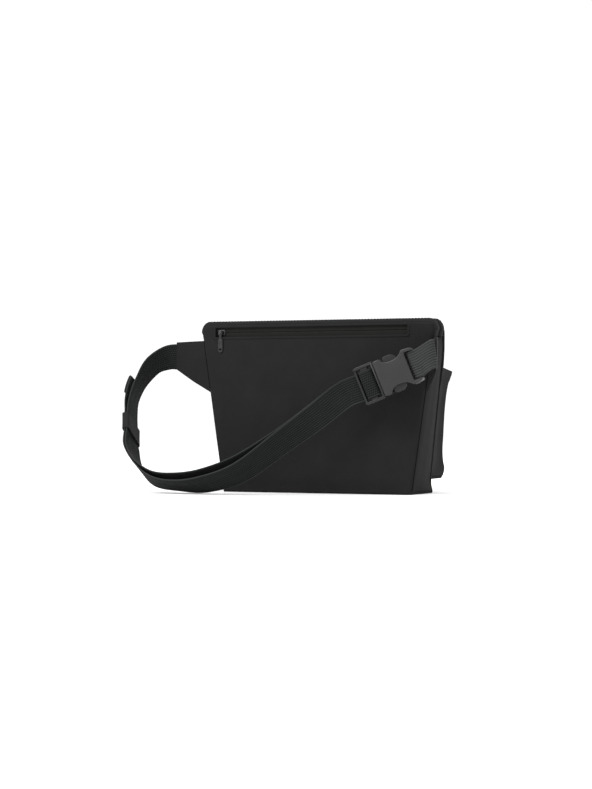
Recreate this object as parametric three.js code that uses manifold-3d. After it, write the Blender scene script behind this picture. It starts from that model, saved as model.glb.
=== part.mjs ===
// Waist-worn throw rope bag: a zipped wedge-shaped pouch with an open rope pocket on its front,
// two fabric wings, and a 25 mm webbing belt closed by a side-release buckle.
// Millimetres, +Z up. The back panel (the wearer's side) faces -Y and the rope pocket faces +Y.
// The origin is the middle of the main pouch's flat bottom.

import * as THREE from 'three';
import { LoftGeometry } from 'three/addons/geometries/LoftGeometry.js';
import { mergeVertices } from 'three/addons/utils/BufferGeometryUtils.js';
import Module from 'manifold-3d';

const wasm = await Module();
wasm.setup();

// ---------- driving dimensions ----------
const GAP = 0.3; // air left between two sewn or resting pieces

const BAG_HEIGHT = 158.5;
const HALF_WIDTH_BOTTOM = 95;
const HALF_WIDTH_TOP = 118;
const BACK_Y = -29.5; // outer face of the back panel
// outer face of the front panel: height, then distance along Y
const FRONT_PROFILE = [[0, 22.5], [120, 9.5], [139, 4.5], [146, 0], [158.5, -1]];
const FABRIC = 2.5; // foam-backed shell fabric
const CORNER_RADIUS = 8;
const TOP_CROWN = 3.8; // how far the zip gusset swells above the panels
const SIDE_CROWN = 1.6; // and how far past their sides
const TOP_LINING = 2; // how far it reaches inside them
const TAB_CROWN = 0.4; // the same at the two ends of the main zip
const GUSSET_SPLIT_Z = 146; // where the side gusset meets the zip gusset

const POCKET_FABRIC = 2;
const POCKET_BOTTOM_Z = 13;
const POCKET_TOP_Z = 112;
const POCKET_HEM_HEIGHT = 3;
// outer face of the rope pocket: height, then distance along Y
const POCKET_PROFILE = [
  [13, 51], [17, 55.5], [22, 57], [29, 50.5], [38, 45], [55, 40.2],
  [68, 36.8], [84, 33.8], [97, 33.5], [105, 35.5], [112, 40],
];

const WEBBING_WIDTH = 25;
const WEBBING = 1.5;

const REAR_ZIP_Z = 151.6;
const REAR_ZIP_X = [-102.5, 92]; // ends of the window in the back panel
const REAR_WINDOW_HALF = 4.3;
const REAR_TAPE_REACH = 4.6; // from the zip's middle to each tape's outer edge
const MAIN_ZIP_Y = -15.2;
const MAIN_ZIP_HALF_LENGTH = 97;
const MAIN_LIP_HALF = 3; // half the gap between the two halves of the zip gusset
const ZIP_SPLIT = 0.5; // from the middle of a zip to the edge of each tape
const TAPE = 0.7;
const COIL = 1.2;
const COIL_WIDTH = 1.6;

const FLOAT_THICKNESS = 5;
const WING_THICKNESS = 3;
const BUCKLE_CENTRE = new THREE.Vector3(84.9, -58, 109.1);
const BUCKLE_HEADING = THREE.MathUtils.degToRad(8.8);
const BUCKLE_RISE = THREE.MathUtils.degToRad(22.3);

// ---------- materials ----------
const paint = (color, roughness, metalness = 0) =>
  new THREE.MeshStandardMaterial({ color, roughness, metalness });
const shell = paint(0x2b2b2b, 0.9);
const gussetCloth = paint(0x2f2f2f, 0.9);
const lining = paint(0x202020, 0.85);
const foam = paint(0x3a3a3c, 0.95);
const zipTape = paint(0x29292a, 0.85);
const webbing = paint(0x1f2120, 0.75);
const stubWebbing = paint(0x3c3e3d, 0.75);
const plastic = paint(0x303234, 0.4);
const metal = paint(0x55575a, 0.35, 0.9);
const brass = paint(0x4a4a48, 0.4, 0.9);

// ---------- shared shape helpers ----------
const root = new THREE.Group();

function add(name, geometry, material, group = root) {
  const mesh = new THREE.Mesh(geometry, material);
  mesh.name = name;
  group.add(mesh);
  return mesh;
}

const mix = THREE.MathUtils.lerp;
const halfWidth = (z) => mix(HALF_WIDTH_BOTTOM, HALF_WIDTH_TOP, z / BAG_HEIGHT);

// The distance along Y at height z on a profile of [height, distance] points.
function onProfile(profile, z) {
  const i = Math.max(profile.findIndex(([height]) => height >= z), 1);
  const [z0, y0] = profile[i - 1];
  const [z1, y1] = profile[i];
  return mix(y0, y1, (z - z0) / (z1 - z0));
}
const frontY = (z) => onProfile(FRONT_PROFILE, z);

function box(x0, x1, y0, y1, z0, z1) {
  const geometry = new THREE.BoxGeometry(x1 - x0, y1 - y0, z1 - z0);
  return geometry.translate((x0 + x1) / 2, (y0 + y1) / 2, (z0 + z1) / 2);
}

// A slab whose outline is drawn in X and Z and whose thickness runs along Y.
function slab(shape, y0, y1) {
  const geometry = new THREE.ExtrudeGeometry(shape, { depth: y1 - y0, bevelEnabled: false, curveSegments: 5 });
  return geometry.rotateX(Math.PI / 2).translate(0, y1, 0);
}

// A bar whose outline is drawn in Y and Z and which runs along X.
function bar(points, x0, x1) {
  const shape = new THREE.Shape(points.map(([y, z]) => new THREE.Vector2(y, z)));
  const geometry = new THREE.ExtrudeGeometry(shape, { depth: x1 - x0, bevelEnabled: false });
  return geometry.rotateZ(Math.PI / 2).rotateY(Math.PI / 2).translate(x0, 0, 0);
}

// A closed loft, turned the right way round whichever way its sections wind.
function loft(sections) {
  const area = (ring) => {
    const middle = ring.reduce((sum, p) => sum.add(p), new THREE.Vector3()).divideScalar(ring.length);
    const normal = new THREE.Vector3();
    ring.forEach((p, i) => {
      const next = ring[(i + 1) % ring.length];
      normal.add(p.clone().sub(middle).cross(next.clone().sub(middle)));
    });
    return { middle, normal };
  };
  const first = area(sections[0]);
  const along = area(sections[1]).middle.sub(first.middle);
  const rings = first.normal.dot(along) > 0 ? sections : sections.map((ring) => [...ring].reverse());
  return new LoftGeometry(rings, { capStart: true, capEnd: true });
}

// One rectangle of a vertical loft, at height z.
const level = (x0, x1, y0, y1, z) => [
  new THREE.Vector3(x0, y0, z),
  new THREE.Vector3(x1, y0, z),
  new THREE.Vector3(x1, y1, z),
  new THREE.Vector3(x0, y1, z),
];

function solid(geometry) {
  const bare = geometry.clone();
  bare.deleteAttribute('normal');
  bare.deleteAttribute('uv');
  const merged = mergeVertices(bare, 1e-4);
  return new wasm.Manifold(
    new wasm.Mesh({
      numProp: 3,
      vertProperties: new Float32Array(merged.attributes.position.array),
      triVerts: new Uint32Array(merged.index.array),
    }),
  );
}

function geometryOf(manifold) {
  const mesh = manifold.getMesh();
  const geometry = new THREE.BufferGeometry();
  geometry.setAttribute('position', new THREE.BufferAttribute(new Float32Array(mesh.vertProperties), 3));
  geometry.setIndex(new THREE.BufferAttribute(new Uint32Array(mesh.triVerts), 1));
  return geometry;
}

const cut = (geometry, ...tools) =>
  geometryOf(tools.reduce((body, tool) => body.subtract(solid(tool)), solid(geometry)));
const join = (geometry, ...others) =>
  geometryOf(others.reduce((body, other) => body.add(solid(other)), solid(geometry)));

// ---------- main pouch ----------
function panelShape() {
  const shape = new THREE.Shape();
  const top = BAG_HEIGHT;
  const r = CORNER_RADIUS;
  shape.moveTo(-HALF_WIDTH_BOTTOM, 0);
  shape.lineTo(HALF_WIDTH_BOTTOM, 0);
  shape.lineTo(halfWidth(top - r), top - r);
  shape.quadraticCurveTo(halfWidth(top), top, halfWidth(top) - r, top);
  shape.lineTo(-halfWidth(top) + r, top);
  shape.quadraticCurveTo(-halfWidth(top), top, -halfWidth(top - r), top - r);
  return shape;
}

// Half the panel's width at height z, with its top corners rounded off.
function panelHalfWidth(z) {
  const rise = Math.max(z - (BAG_HEIGHT - CORNER_RADIUS), 0);
  return halfWidth(z) - CORNER_RADIUS + Math.sqrt(CORNER_RADIUS ** 2 - rise ** 2);
}

function addPanels() {
  const back = panelShape();
  const [x0, x1] = REAR_ZIP_X;
  back.holes.push(
    new THREE.Path([
      new THREE.Vector2(x0, REAR_ZIP_Z - REAR_WINDOW_HALF),
      new THREE.Vector2(x0, REAR_ZIP_Z + REAR_WINDOW_HALF),
      new THREE.Vector2(x1, REAR_ZIP_Z + REAR_WINDOW_HALF),
      new THREE.Vector2(x1, REAR_ZIP_Z - REAR_WINDOW_HALF),
    ]),
  );
  add('back_panel', slab(back, BACK_Y, BACK_Y + FABRIC), shell);
  const corner = [0, 0.4, 0.7, 0.9, 1].map((share) => BAG_HEIGHT - CORNER_RADIUS * (1 - share));
  const heights = [...FRONT_PROFILE.slice(0, -1).map(([z]) => z), ...corner];
  const front = heights.map((z) => {
    const w = panelHalfWidth(z);
    return level(-w, w, frontY(z) - FABRIC, frontY(z), z);
  });
  add('front_panel', loft(front), shell);
}

const INNER_BACK_Y = BACK_Y + FABRIC + GAP;
const innerFrontY = (z) => frontY(z) - FABRIC - GAP;

function addGussets() {
  add(
    'bottom_gusset',
    box(-HALF_WIDTH_BOTTOM, HALF_WIDTH_BOTTOM, INNER_BACK_Y, innerFrontY(FABRIC), 0, FABRIC),
    gussetCloth,
  );
  for (const [name, side] of [['side_gusset_left', -1], ['side_gusset_right', 1]]) {
    const bends = FRONT_PROFILE.map(([z]) => z).filter((z) => z > FABRIC && z < GUSSET_SPLIT_Z);
    const rings = [FABRIC + GAP, ...bends, GUSSET_SPLIT_Z - GAP].map((z) =>
      level(side * (halfWidth(z) - FABRIC), side * halfWidth(z), INNER_BACK_Y, innerFrontY(z), z),
    );
    add(name, loft(rings), gussetCloth);
  }
}

// The line over the bag's top, from the right side's split to the left side's, moved outwards by swell.
function overTop(swell) {
  const top = BAG_HEIGHT + swell;
  const r = CORNER_RADIUS;
  const x = (z) => halfWidth(z) + Math.min(swell, SIDE_CROWN);
  const path = new THREE.Path();
  path.moveTo(x(GUSSET_SPLIT_Z), GUSSET_SPLIT_Z);
  path.lineTo(x(top - r), top - r);
  path.quadraticCurveTo(x(top), top, x(top) - r, top);
  path.lineTo(-x(top) + r, top);
  path.quadraticCurveTo(-x(top), top, -x(top - r), top - r);
  path.lineTo(-x(GUSSET_SPLIT_Z), GUSSET_SPLIT_Z);
  return path.getPoints(5);
}

const STRIP_Y = [INNER_BACK_Y, MAIN_ZIP_Y - MAIN_LIP_HALF, MAIN_ZIP_Y + MAIN_LIP_HALF, innerFrontY(BAG_HEIGHT)];

function addZipGusset() {
  const band = (swell) => new THREE.Shape([...overTop(swell), ...overTop(-TOP_LINING).reverse()]);
  const outline = band(TOP_CROWN);
  const [backEdge, backLip, frontLip, frontEdge] = STRIP_Y;
  add('zip_gusset_back', slab(outline, backEdge, backLip), gussetCloth);
  add('zip_gusset_front', slab(outline, frontLip, frontEdge), gussetCloth);
  const tab = slab(band(TAB_CROWN), backLip + GAP, frontLip - GAP);
  const reach = MAIN_ZIP_HALF_LENGTH + GAP;
  add('zip_tab_left', cut(tab, box(-reach, 200, -60, 60, 100, 200)), gussetCloth);
  add('zip_tab_right', cut(tab, box(-200, reach, -60, 60, 100, 200)), gussetCloth);
}

// Inside the pouch: the rear pocket's lining and the sewn-in float.
function addInnards() {
  const liningY = INNER_BACK_Y + 3.3;
  add('rear_pocket_lining', box(-98, 98, liningY, liningY + 0.8, 42, 153.5), lining);
  const floatRings = [[18, 75], [118, 84]].map(([z, w]) =>
    level(-w, w, innerFrontY(z) - FLOAT_THICKNESS, innerFrontY(z), z),
  );
  add('float_foam', loft(floatRings), foam);
}

// ---------- zips ----------
// Each half is a tape with its coil along one edge. side is +1 for the half on the far side of the
// zip's middle; across and through say how far it reaches from the middle and on which face the coil is.
function addRearZip() {
  const [x0, x1] = [REAR_ZIP_X[0] - 2, REAR_ZIP_X[1] + 2];
  const y = INNER_BACK_Y;
  for (const [name, side] of [['rear_zip_tape_upper', 1], ['rear_zip_tape_lower', -1]]) {
    const z = (d) => REAR_ZIP_Z + side * d;
    const outline = [
      [y, z(ZIP_SPLIT)],
      [y, z(REAR_TAPE_REACH)],
      [y + TAPE, z(REAR_TAPE_REACH)],
      [y + TAPE, z(ZIP_SPLIT + COIL_WIDTH)],
      [y + TAPE + COIL, z(ZIP_SPLIT + COIL_WIDTH)],
      [y + TAPE + COIL, z(ZIP_SPLIT)],
    ];
    add(name, bar(side > 0 ? outline : outline.reverse(), x0, x1), zipTape);
  }
}

const MAIN_TAPE_Z = BAG_HEIGHT - TOP_LINING - GAP - TAPE;

function addMainZip() {
  for (const [name, side] of [['main_zip_tape_front', 1], ['main_zip_tape_back', -1]]) {
    const y = (d) => MAIN_ZIP_Y + side * d;
    const z = MAIN_TAPE_Z;
    const outline = [
      [y(ZIP_SPLIT), z],
      [y(5.5), z],
      [y(5.5), z + TAPE],
      [y(ZIP_SPLIT + COIL_WIDTH), z + TAPE],
      [y(ZIP_SPLIT + COIL_WIDTH), z + TAPE + COIL],
      [y(ZIP_SPLIT), z + TAPE + COIL],
    ];
    add(name, bar(side > 0 ? outline : outline.reverse(), -MAIN_ZIP_HALF_LENGTH, MAIN_ZIP_HALF_LENGTH), zipTape);
  }
}

// A slider drawn as if its zip lay flat: travel along X, tape face at z = 0 and its back at z = -deep.
const SLIDER_LENGTH = 8;
const SLIDER_HALF = 2.5;
function sliderBody(over, under) {
  const half = SLIDER_LENGTH / 2;
  const plate = box(-half, half, -SLIDER_HALF, SLIDER_HALF, over, over + 1);
  const base = box(-half, half, -SLIDER_HALF, SLIDER_HALF, -under - 0.8, -under);
  const neck = box(-1.5, half, -0.2, 0.2, -under - 0.4, over + 0.5);
  return [plate, base, neck];
}

const REAR_SLIDER_X = REAR_ZIP_X[0] + 5.5;
const REAR_POST_OUT = 5.4; // from the tape's face to the outside of the post's head
const PULL_LENGTH = 19;

function addRearSlider() {
  const under = TAPE + COIL + GAP;
  const [plate, base, neck] = sliderBody(GAP, under);
  const post = new THREE.CylinderGeometry(0.8, 0.8, REAR_POST_OUT - 1, 12).rotateX(Math.PI / 2);
  post.translate(0, 0, 1 + (REAR_POST_OUT - 1) / 2 - GAP);
  const head = new THREE.CylinderGeometry(1.5, 1.5, 0.7, 12).rotateX(Math.PI / 2).translate(0, 0, REAR_POST_OUT - 0.35);
  const geometry = join(plate, base, neck, post, head).rotateX(Math.PI / 2);
  add('rear_zip_slider', geometry, metal).position.set(REAR_SLIDER_X, INNER_BACK_Y, REAR_ZIP_Z);

  const thick = 1;
  const outline = new THREE.Shape();
  outline.absarc(0, 0, 2.1, 0, Math.PI, false);
  outline.lineTo(-1.7, -8);
  outline.absarc(0, -PULL_LENGTH + 2.4, 2.4, Math.PI, 2 * Math.PI, false);
  outline.lineTo(1.7, -8);
  const eye = new THREE.Path();
  eye.absarc(0, 0, 1.1, 0, 2 * Math.PI, true);
  const tip = new THREE.Path();
  tip.absarc(0, -PULL_LENGTH + 2.6, 1.2, 0, 2 * Math.PI, true);
  outline.holes.push(eye, tip);
  const pullBack = INNER_BACK_Y - REAR_POST_OUT + 0.7 + GAP + thick;
  add('rear_zip_pull', slab(outline, pullBack - thick, pullBack), metal).position.set(REAR_SLIDER_X, 0, REAR_ZIP_Z);
}

const MAIN_SLIDER_X = -MAIN_ZIP_HALF_LENGTH + 8;

function addMainSlider() {
  const top = MAIN_TAPE_Z + TAPE + COIL; // the coil's top
  const under = TAPE + COIL + GAP;
  const [plate, base, neck] = sliderBody(GAP, under);
  const arch = cut(box(-3, 3, -0.7, 0.7, 0.8, 3.9), box(-1.9, 1.9, -2, 2, GAP + 1, 3.1));
  const geometry = join(plate, base, neck, arch);
  add('main_zip_slider', geometry, metal).position.set(MAIN_SLIDER_X, MAIN_ZIP_Y, top);

  // The pull lies along +X with its crossbar under the slider's arch.
  const outline = new THREE.Shape();
  outline.moveTo(-0.5, -2.1);
  outline.lineTo(8, -2.1);
  outline.absarc(PULL_LENGTH - 2.4, 0, 2.4, -Math.PI / 2, Math.PI / 2, false);
  outline.lineTo(8, 2.1);
  outline.lineTo(-0.5, 2.1);
  const window = new THREE.Path([
    new THREE.Vector2(0.5, -1.1),
    new THREE.Vector2(0.5, 1.1),
    new THREE.Vector2(6.5, 1.1),
    new THREE.Vector2(6.5, -1.1),
  ]);
  outline.holes.push(window);
  const pull = new THREE.ExtrudeGeometry(outline, { depth: 0.9, bevelEnabled: false, curveSegments: 6 });
  pull.translate(0, 0, -0.45);
  add('main_zip_pull', pull, metal).position.set(MAIN_SLIDER_X, MAIN_ZIP_Y, top + 2.3);
}

// ---------- rope pocket ----------
const pocketY = (z) => onProfile(POCKET_PROFILE, z);

const EYELET_X = [-40, 40];
const EYELET_Y = 36;

function addPocket() {
  const heights = POCKET_PROFILE.map(([z]) => z);
  const panel = heights.map((z) => level(-halfWidth(z), halfWidth(z), pocketY(z) - POCKET_FABRIC, pocketY(z), z));
  add('pocket_panel', loft(panel), shell);

  const floorTop = POCKET_BOTTOM_Z + POCKET_FABRIC;
  const sideHeights = [floorTop + GAP, ...heights.filter((z) => z > floorTop + 1)];
  for (const [name, side] of [['pocket_side_left', -1], ['pocket_side_right', 1]]) {
    const rings = sideHeights.map((z) => {
      const x = side * halfWidth(z);
      return level(x - side * POCKET_FABRIC, x, frontY(z) + GAP, pocketY(z) - POCKET_FABRIC - GAP, z);
    });
    add(name, loft(rings), gussetCloth);
  }

  const w = halfWidth(POCKET_BOTTOM_Z);
  const floorFront = pocketY(POCKET_BOTTOM_Z) - POCKET_FABRIC - GAP;
  const floor = box(-w, w, frontY(POCKET_BOTTOM_Z) + GAP, floorFront, POCKET_BOTTOM_Z, floorTop);
  const holes = EYELET_X.map((x) =>
    new THREE.CylinderGeometry(4, 4, 10, 20).rotateX(Math.PI / 2).translate(x, EYELET_Y, POCKET_BOTTOM_Z),
  );
  add('pocket_floor', cut(floor, ...holes), gussetCloth);

  const z = POCKET_TOP_Z + GAP;
  const lipWidth = halfWidth(POCKET_TOP_Z);
  const lipY = pocketY(POCKET_TOP_Z);
  const hem = [z, z + POCKET_HEM_HEIGHT].map((height) => level(-lipWidth, lipWidth, lipY - 2.6, lipY + 0.6, height));
  add('pocket_hem', loft(hem), gussetCloth);
}

// Rolled eyelets that let water out, each a ring with a flange above and below the floor.
function addEyelets() {
  const low = POCKET_BOTTOM_Z - GAP;
  const high = POCKET_BOTTOM_Z + POCKET_FABRIC + GAP;
  const profile = [
    [2.6, low - 0.5],
    [5.5, low - 0.5],
    [5.5, low],
    [3.6, low],
    [3.6, high],
    [5.5, high],
    [5.5, high + 0.5],
    [2.6, high + 0.5],
    [2.6, low - 0.5],
  ].map(([r, z]) => new THREE.Vector2(r, z));
  EYELET_X.forEach((x, i) => {
    const ring = new THREE.LatheGeometry(profile, 20).rotateX(Math.PI / 2);
    add(`drain_eyelet_${i + 1}`, ring.translate(x, EYELET_Y, 0), brass);
  });
}

// Webbing loop sewn to the pocket's floor, where the rope's bag end ties on.
function addRopeAnchor() {
  const floorTop = POCKET_BOTTOM_Z + POCKET_FABRIC + GAP;
  const shape = new THREE.Shape();
  shape.absarc(0, floorTop + 9, 7, Math.PI, 0, true);
  shape.lineTo(7, floorTop);
  shape.lineTo(-7, floorTop);
  const eye = new THREE.Path();
  eye.absarc(0, floorTop + 9, 5.5, 0, Math.PI, false);
  eye.lineTo(-5.5, floorTop + 1.5);
  eye.lineTo(5.5, floorTop + 1.5);
  shape.holes.push(eye);
  add('rope_anchor_loop', slab(shape, EYELET_Y - 3, EYELET_Y + 3), webbing);
}

// ---------- wings ----------
// Each wing is lofted from the bag's side seam to the belt; a station gives the middle of the fabric,
// its lower and upper edge, and the direction across its thickness.
const WINGS = {
  wing_left: [
    { at: [-0.6, -27.8], low: 95, high: 144.5, across: [0.06, 1], seam: -1 },
    { at: [-127, -26.6], low: 101.8, high: 143.8, across: [0.14, 1] },
    { at: [-147, -21.8], low: 116, high: 142, across: [0.2, 1] },
  ],
  wing_right: [
    { at: [2.2, -27.8], low: 95, high: 144.5, across: [1, 0.25], seam: 1 },
    { at: [121.3, -34], low: 100, high: 144.5, across: [1, 0.4] },
    { at: [124.5, -42], low: 108, high: 144.5, across: [1, 0.3] },
    { at: [126.5, -50.5], low: 117, high: 144, across: [1, 0.25] },
  ],
};

function addWings() {
  for (const [name, stations] of Object.entries(WINGS)) {
    const rings = stations.map(({ at, low, high, across, seam }) => {
      const half = new THREE.Vector3(across[0], across[1], 0).setLength(WING_THICKNESS / 2);
      const middle = (z) => new THREE.Vector3(seam ? at[0] + seam * halfWidth(z) : at[0], at[1], z);
      return [
        middle(low).sub(half),
        middle(low).add(half),
        middle(high).add(half),
        middle(high).sub(half),
      ];
    });
    add(name, loft(rings), shell);
  }
}

// ---------- webbing ----------
// Points on a ribbon's middle line; edge is the direction from its lower edge to its upper one,
// and slack is how far the belt's outer layer hangs away from the inner one.
const BELT_ROUTE = [
  { at: [-148.2, -22.2, 129], edge: [0, -0.08, 1], slack: 2.2 },
  { at: [-156, -24.4, 128.2], edge: [-0.1, -0.45, 0.9], slack: 2.2 },
  { at: [-168, -32, 121], edge: [-0.3, -0.95, 0.35], slack: 2.2 },
  { at: [-176.5, -40, 105], edge: [-0.12, -1, 0], slack: 5.4 },
  { at: [-180, -46.8, 89], edge: [0, -1, 0], slack: 4.4 },
  { at: [-180, -51, 74], edge: [0, -1, 0], slack: 2.4 },
  { at: [-176.5, -57.2, 59], edge: [0, -1, 0], slack: 2.2 },
  { at: [-172.4, -64.6, 44], edge: [0, -1, 0], slack: 2.2 },
  { at: [-161.8, -70.6, 28.6], edge: [0.2, -0.95, 0.28], slack: 2.8 },
  { at: [-142.8, -77, 16.8], edge: [0.22, -0.9, 0.48], slack: 5.8 },
  { at: [-117, -82, 14], edge: [0, -0.9, 0.45], slack: 7.2 },
  { at: [-87, -84, 16.2], edge: [-0.15, -0.8, 0.58], slack: 8.8 },
  { at: [-51, -83, 28], edge: [-0.28, -0.74, 0.65], slack: 10 },
  { at: [-12.5, -77, 50.5], edge: [-0.4, -0.65, 0.7], slack: 3.2 },
  { at: [17.5, -69.5, 72], edge: [-0.42, -0.4, 0.82], slack: 2.2 },
];
const KEEPER_AT = 6; // place along the route, counted in its points
const KEEPER_LENGTH = 22;
const TAIL_END = 3.15; // where the belt's loose end stops
const TAIL_HEM = 0.75; // how much of the end is folded into a hem
const HEM_THICKNESS = 4.2;
const STEPS = 6;

// The point between the middle two of four neighbours, on a uniform Catmull-Rom curve.
function between(a, b, c, d, t) {
  const part = (p0, p1, p2, p3) =>
    0.5 * (2 * p1 + (p2 - p0) * t + (2 * p0 - 5 * p1 + 4 * p2 - p3) * t * t + (3 * p1 - p0 - 3 * p2 + p3) * t ** 3);
  return a.map((value, i) => part(value, b[i], c[i], d[i]));
}

// Every place on a route, as { u, middle, edge, along, outward, slack }. The edge is turned square to
// the route, unless it is sheared, and then it is kept as it is given.
function follow(route, from, to, sheared = false) {
  const rows = route.map(({ at, edge, slack = 0 }) => [...at, ...edge, slack]);
  const last = rows.length - 1;
  const beyond = (end, next) => end.map((value, i) => 2 * value - next[i]);
  const row = (i) => (i < 0 ? beyond(rows[0], rows[1]) : i > last ? beyond(rows[last], rows[last - 1]) : rows[i]);
  const sample = (u) => {
    const i = Math.min(Math.floor(u), last - 1);
    return between(row(i - 1), row(i), row(i + 1), row(i + 2), u - i);
  };
  const count = Math.max(Math.round((to - from) * STEPS), 2);
  return Array.from({ length: count + 1 }, (_, k) => {
    const u = mix(from, to, k / count);
    const here = sample(u);
    const ahead = sample(Math.min(u + 0.01, last));
    const behind = sample(Math.max(u - 0.01, 0));
    const along = new THREE.Vector3(...ahead.slice(0, 3)).sub(new THREE.Vector3(...behind.slice(0, 3))).normalize();
    const edge = new THREE.Vector3(...here.slice(3, 6));
    if (!sheared) edge.projectOnPlane(along).normalize();
    const outward = along.clone().cross(edge).normalize();
    return { u, middle: new THREE.Vector3(...here.slice(0, 3)), edge, along, outward, slack: here[6] };
  });
}

// A ribbon: at each place, how far out its inner and outer faces lie.
function ribbon(places, faces) {
  return loft(
    places.map((place) => {
      const [inner, outer] = faces(place);
      const corner = (side, out) =>
        place.middle
          .clone()
          .addScaledVector(place.edge, (side * WEBBING_WIDTH) / 2)
          .addScaledVector(place.outward, out);
      return [corner(-1, inner), corner(1, inner), corner(1, outer), corner(-1, outer)];
    }),
  );
}

// ---------- buckle ----------
// In the buckle's own frame X runs from the male half to the female half, Z across the webbing,
// and -Y faces away from the bag.
const buckle = new THREE.Group();
buckle.position.copy(BUCKLE_CENTRE);
buckle.rotation.set(0, -BUCKLE_RISE, BUCKLE_HEADING, 'ZYX');
buckle.updateMatrixWorld();
root.add(buckle);

const BUCKLE_HALF_WIDTH = 18; // over the male half's arms
const SOCKET_HALF_WIDTH = 16.8; // over the female half
const MALE_END_X = -29;
const MALE_FACE_X = -9.6;
const MOUTH_X = -9.2;
const FEMALE_END_X = 29;
const LOAD_Y = 5.1; // webbing that carries the load, behind the male half
const TAIL_Y = 2.9; // webbing that comes back out, in front of it

const fromBuckle = (x, y, z) => buckle.localToWorld(new THREE.Vector3(x, y, z)).toArray();
const buckleEdge = new THREE.Vector3(0, 0, 1).transformDirection(buckle.matrixWorld).toArray();
const tailGap = LOAD_Y - TAIL_Y;
for (const x of [MALE_END_X - 18, MALE_END_X + 1.6]) {
  BELT_ROUTE.push({ at: fromBuckle(x, LOAD_Y, 0), edge: buckleEdge, slack: tailGap });
}
const BELT_LAST = BELT_ROUTE.length - 1;

function addBelt() {
  add(
    'belt_webbing',
    ribbon(follow(BELT_ROUTE, 0, BELT_LAST), () => [-WEBBING / 2, WEBBING / 2]),
    webbing,
  );
  const tail = follow(BELT_ROUTE, TAIL_END, BELT_LAST);
  add(
    'belt_tail',
    ribbon(tail, ({ u, slack }) => {
      const thick = u < TAIL_END + TAIL_HEM ? HEM_THICKNESS : WEBBING;
      return [slack - WEBBING / 2, slack - WEBBING / 2 + thick];
    }),
    webbing,
  );
}

function addKeeper() {
  const [, place] = follow(BELT_ROUTE, KEEPER_AT - 0.1, KEEPER_AT + 0.1);
  const middle = place.middle.clone().addScaledVector(place.outward, 1.1);
  const inward = place.outward.clone().negate();
  const basis = new THREE.Matrix4().makeBasis(place.along, inward, place.edge).setPosition(middle);
  const half = KEEPER_LENGTH / 2;
  const sleeve = cut(box(-half, half, -3.9, 3.9, -14.4, 14.4), box(-half - 1, half + 1, -3, 3, -13.3, 13.3));
  add('strap_keeper', sleeve.applyMatrix4(basis), gussetCloth);
}

// The webbing through the male half: in behind both bars, up beside the prongs, over the main bar,
// and back down inside the end bar. Points are X and Y in the buckle's frame.
const MAIN_BAR = [-23.3, -15.4];
function addBarWrap() {
  const path = [
    [MALE_END_X + 1.9, LOAD_Y],
    [-18, LOAD_Y],
    [-14.6, 4.6],
    [-13.3, 2.6],
    [-13.2, -0.6],
    [-14.4, -2.7],
    [-16.4, -3.3],
    [-22.2, -3.3],
    [-24.2, -2.6],
    [-24.9, -0.8],
    [-25, 1.2],
    [-25.6, 2.5],
    [MALE_END_X + 1.9, TAIL_Y],
  ];
  const places = path.map(([x, y], i) => {
    const [ax, ay] = path[Math.max(i - 1, 0)];
    const [bx, by] = path[Math.min(i + 1, path.length - 1)];
    const along = new THREE.Vector3(bx - ax, by - ay, 0).normalize();
    const edge = new THREE.Vector3(0, 0, 1);
    return { middle: new THREE.Vector3(x, y, 0), edge, outward: along.clone().cross(edge) };
  });
  add('belt_bar_wrap', ribbon(places, () => [-WEBBING / 2, WEBBING / 2]), webbing, buckle);
}

function plate(outline, y0, y1) {
  return slab(new THREE.Shape(outline.map(([x, z]) => new THREE.Vector2(x, z))), y0, y1);
}

function addMale() {
  const w = BUCKLE_HALF_WIDTH;
  const arm = (side) =>
    plate(
      [
        [MALE_END_X, side * (w - 2.8)],
        [MALE_END_X, side * (w - 1)],
        [MALE_END_X + 2, side * w],
        [MALE_FACE_X, side * w],
        [MALE_FACE_X, side * (w - 2.8)],
      ],
      -3.5,
      3.5,
    );
  const endBar = box(MALE_END_X, MALE_END_X + 2.4, -1.8, 1.6, -w + 1, w - 1);
  const mainBar = box(MAIN_BAR[0], MAIN_BAR[1], -1.9, 1.3, -w + 1, w - 1);
  const faceBar = box(MALE_FACE_X - 2.2, MALE_FACE_X, -3.5, 3.5, -w + 1, w - 1);
  const tongue = box(MALE_FACE_X - 0.5, 8, -1.6, 1.6, -2, 2);
  const side = [arm(1), arm(-1)];
  add('buckle_male', join(endBar, mainBar, faceBar, tongue, ...side), plastic, buckle);
}

function addProngs() {
  for (const [name, side] of [['prong_upper', 1], ['prong_lower', -1]]) {
    const outline = [
      [MALE_FACE_X + GAP, 8.6],
      [MALE_FACE_X + GAP, 12],
      [-0.6, 12.4],
      [-0.2, 16.4],
      [2.5, 17.6],
      [8, 17.4],
      [12.5, 14],
      [13, 11],
      [9.5, 9.4],
      [-3, 9],
    ].map(([x, z]) => [x, side * z]);
    add(name, plate(outline, -2.6, 2.6), plastic, buckle);
  }
}

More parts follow.
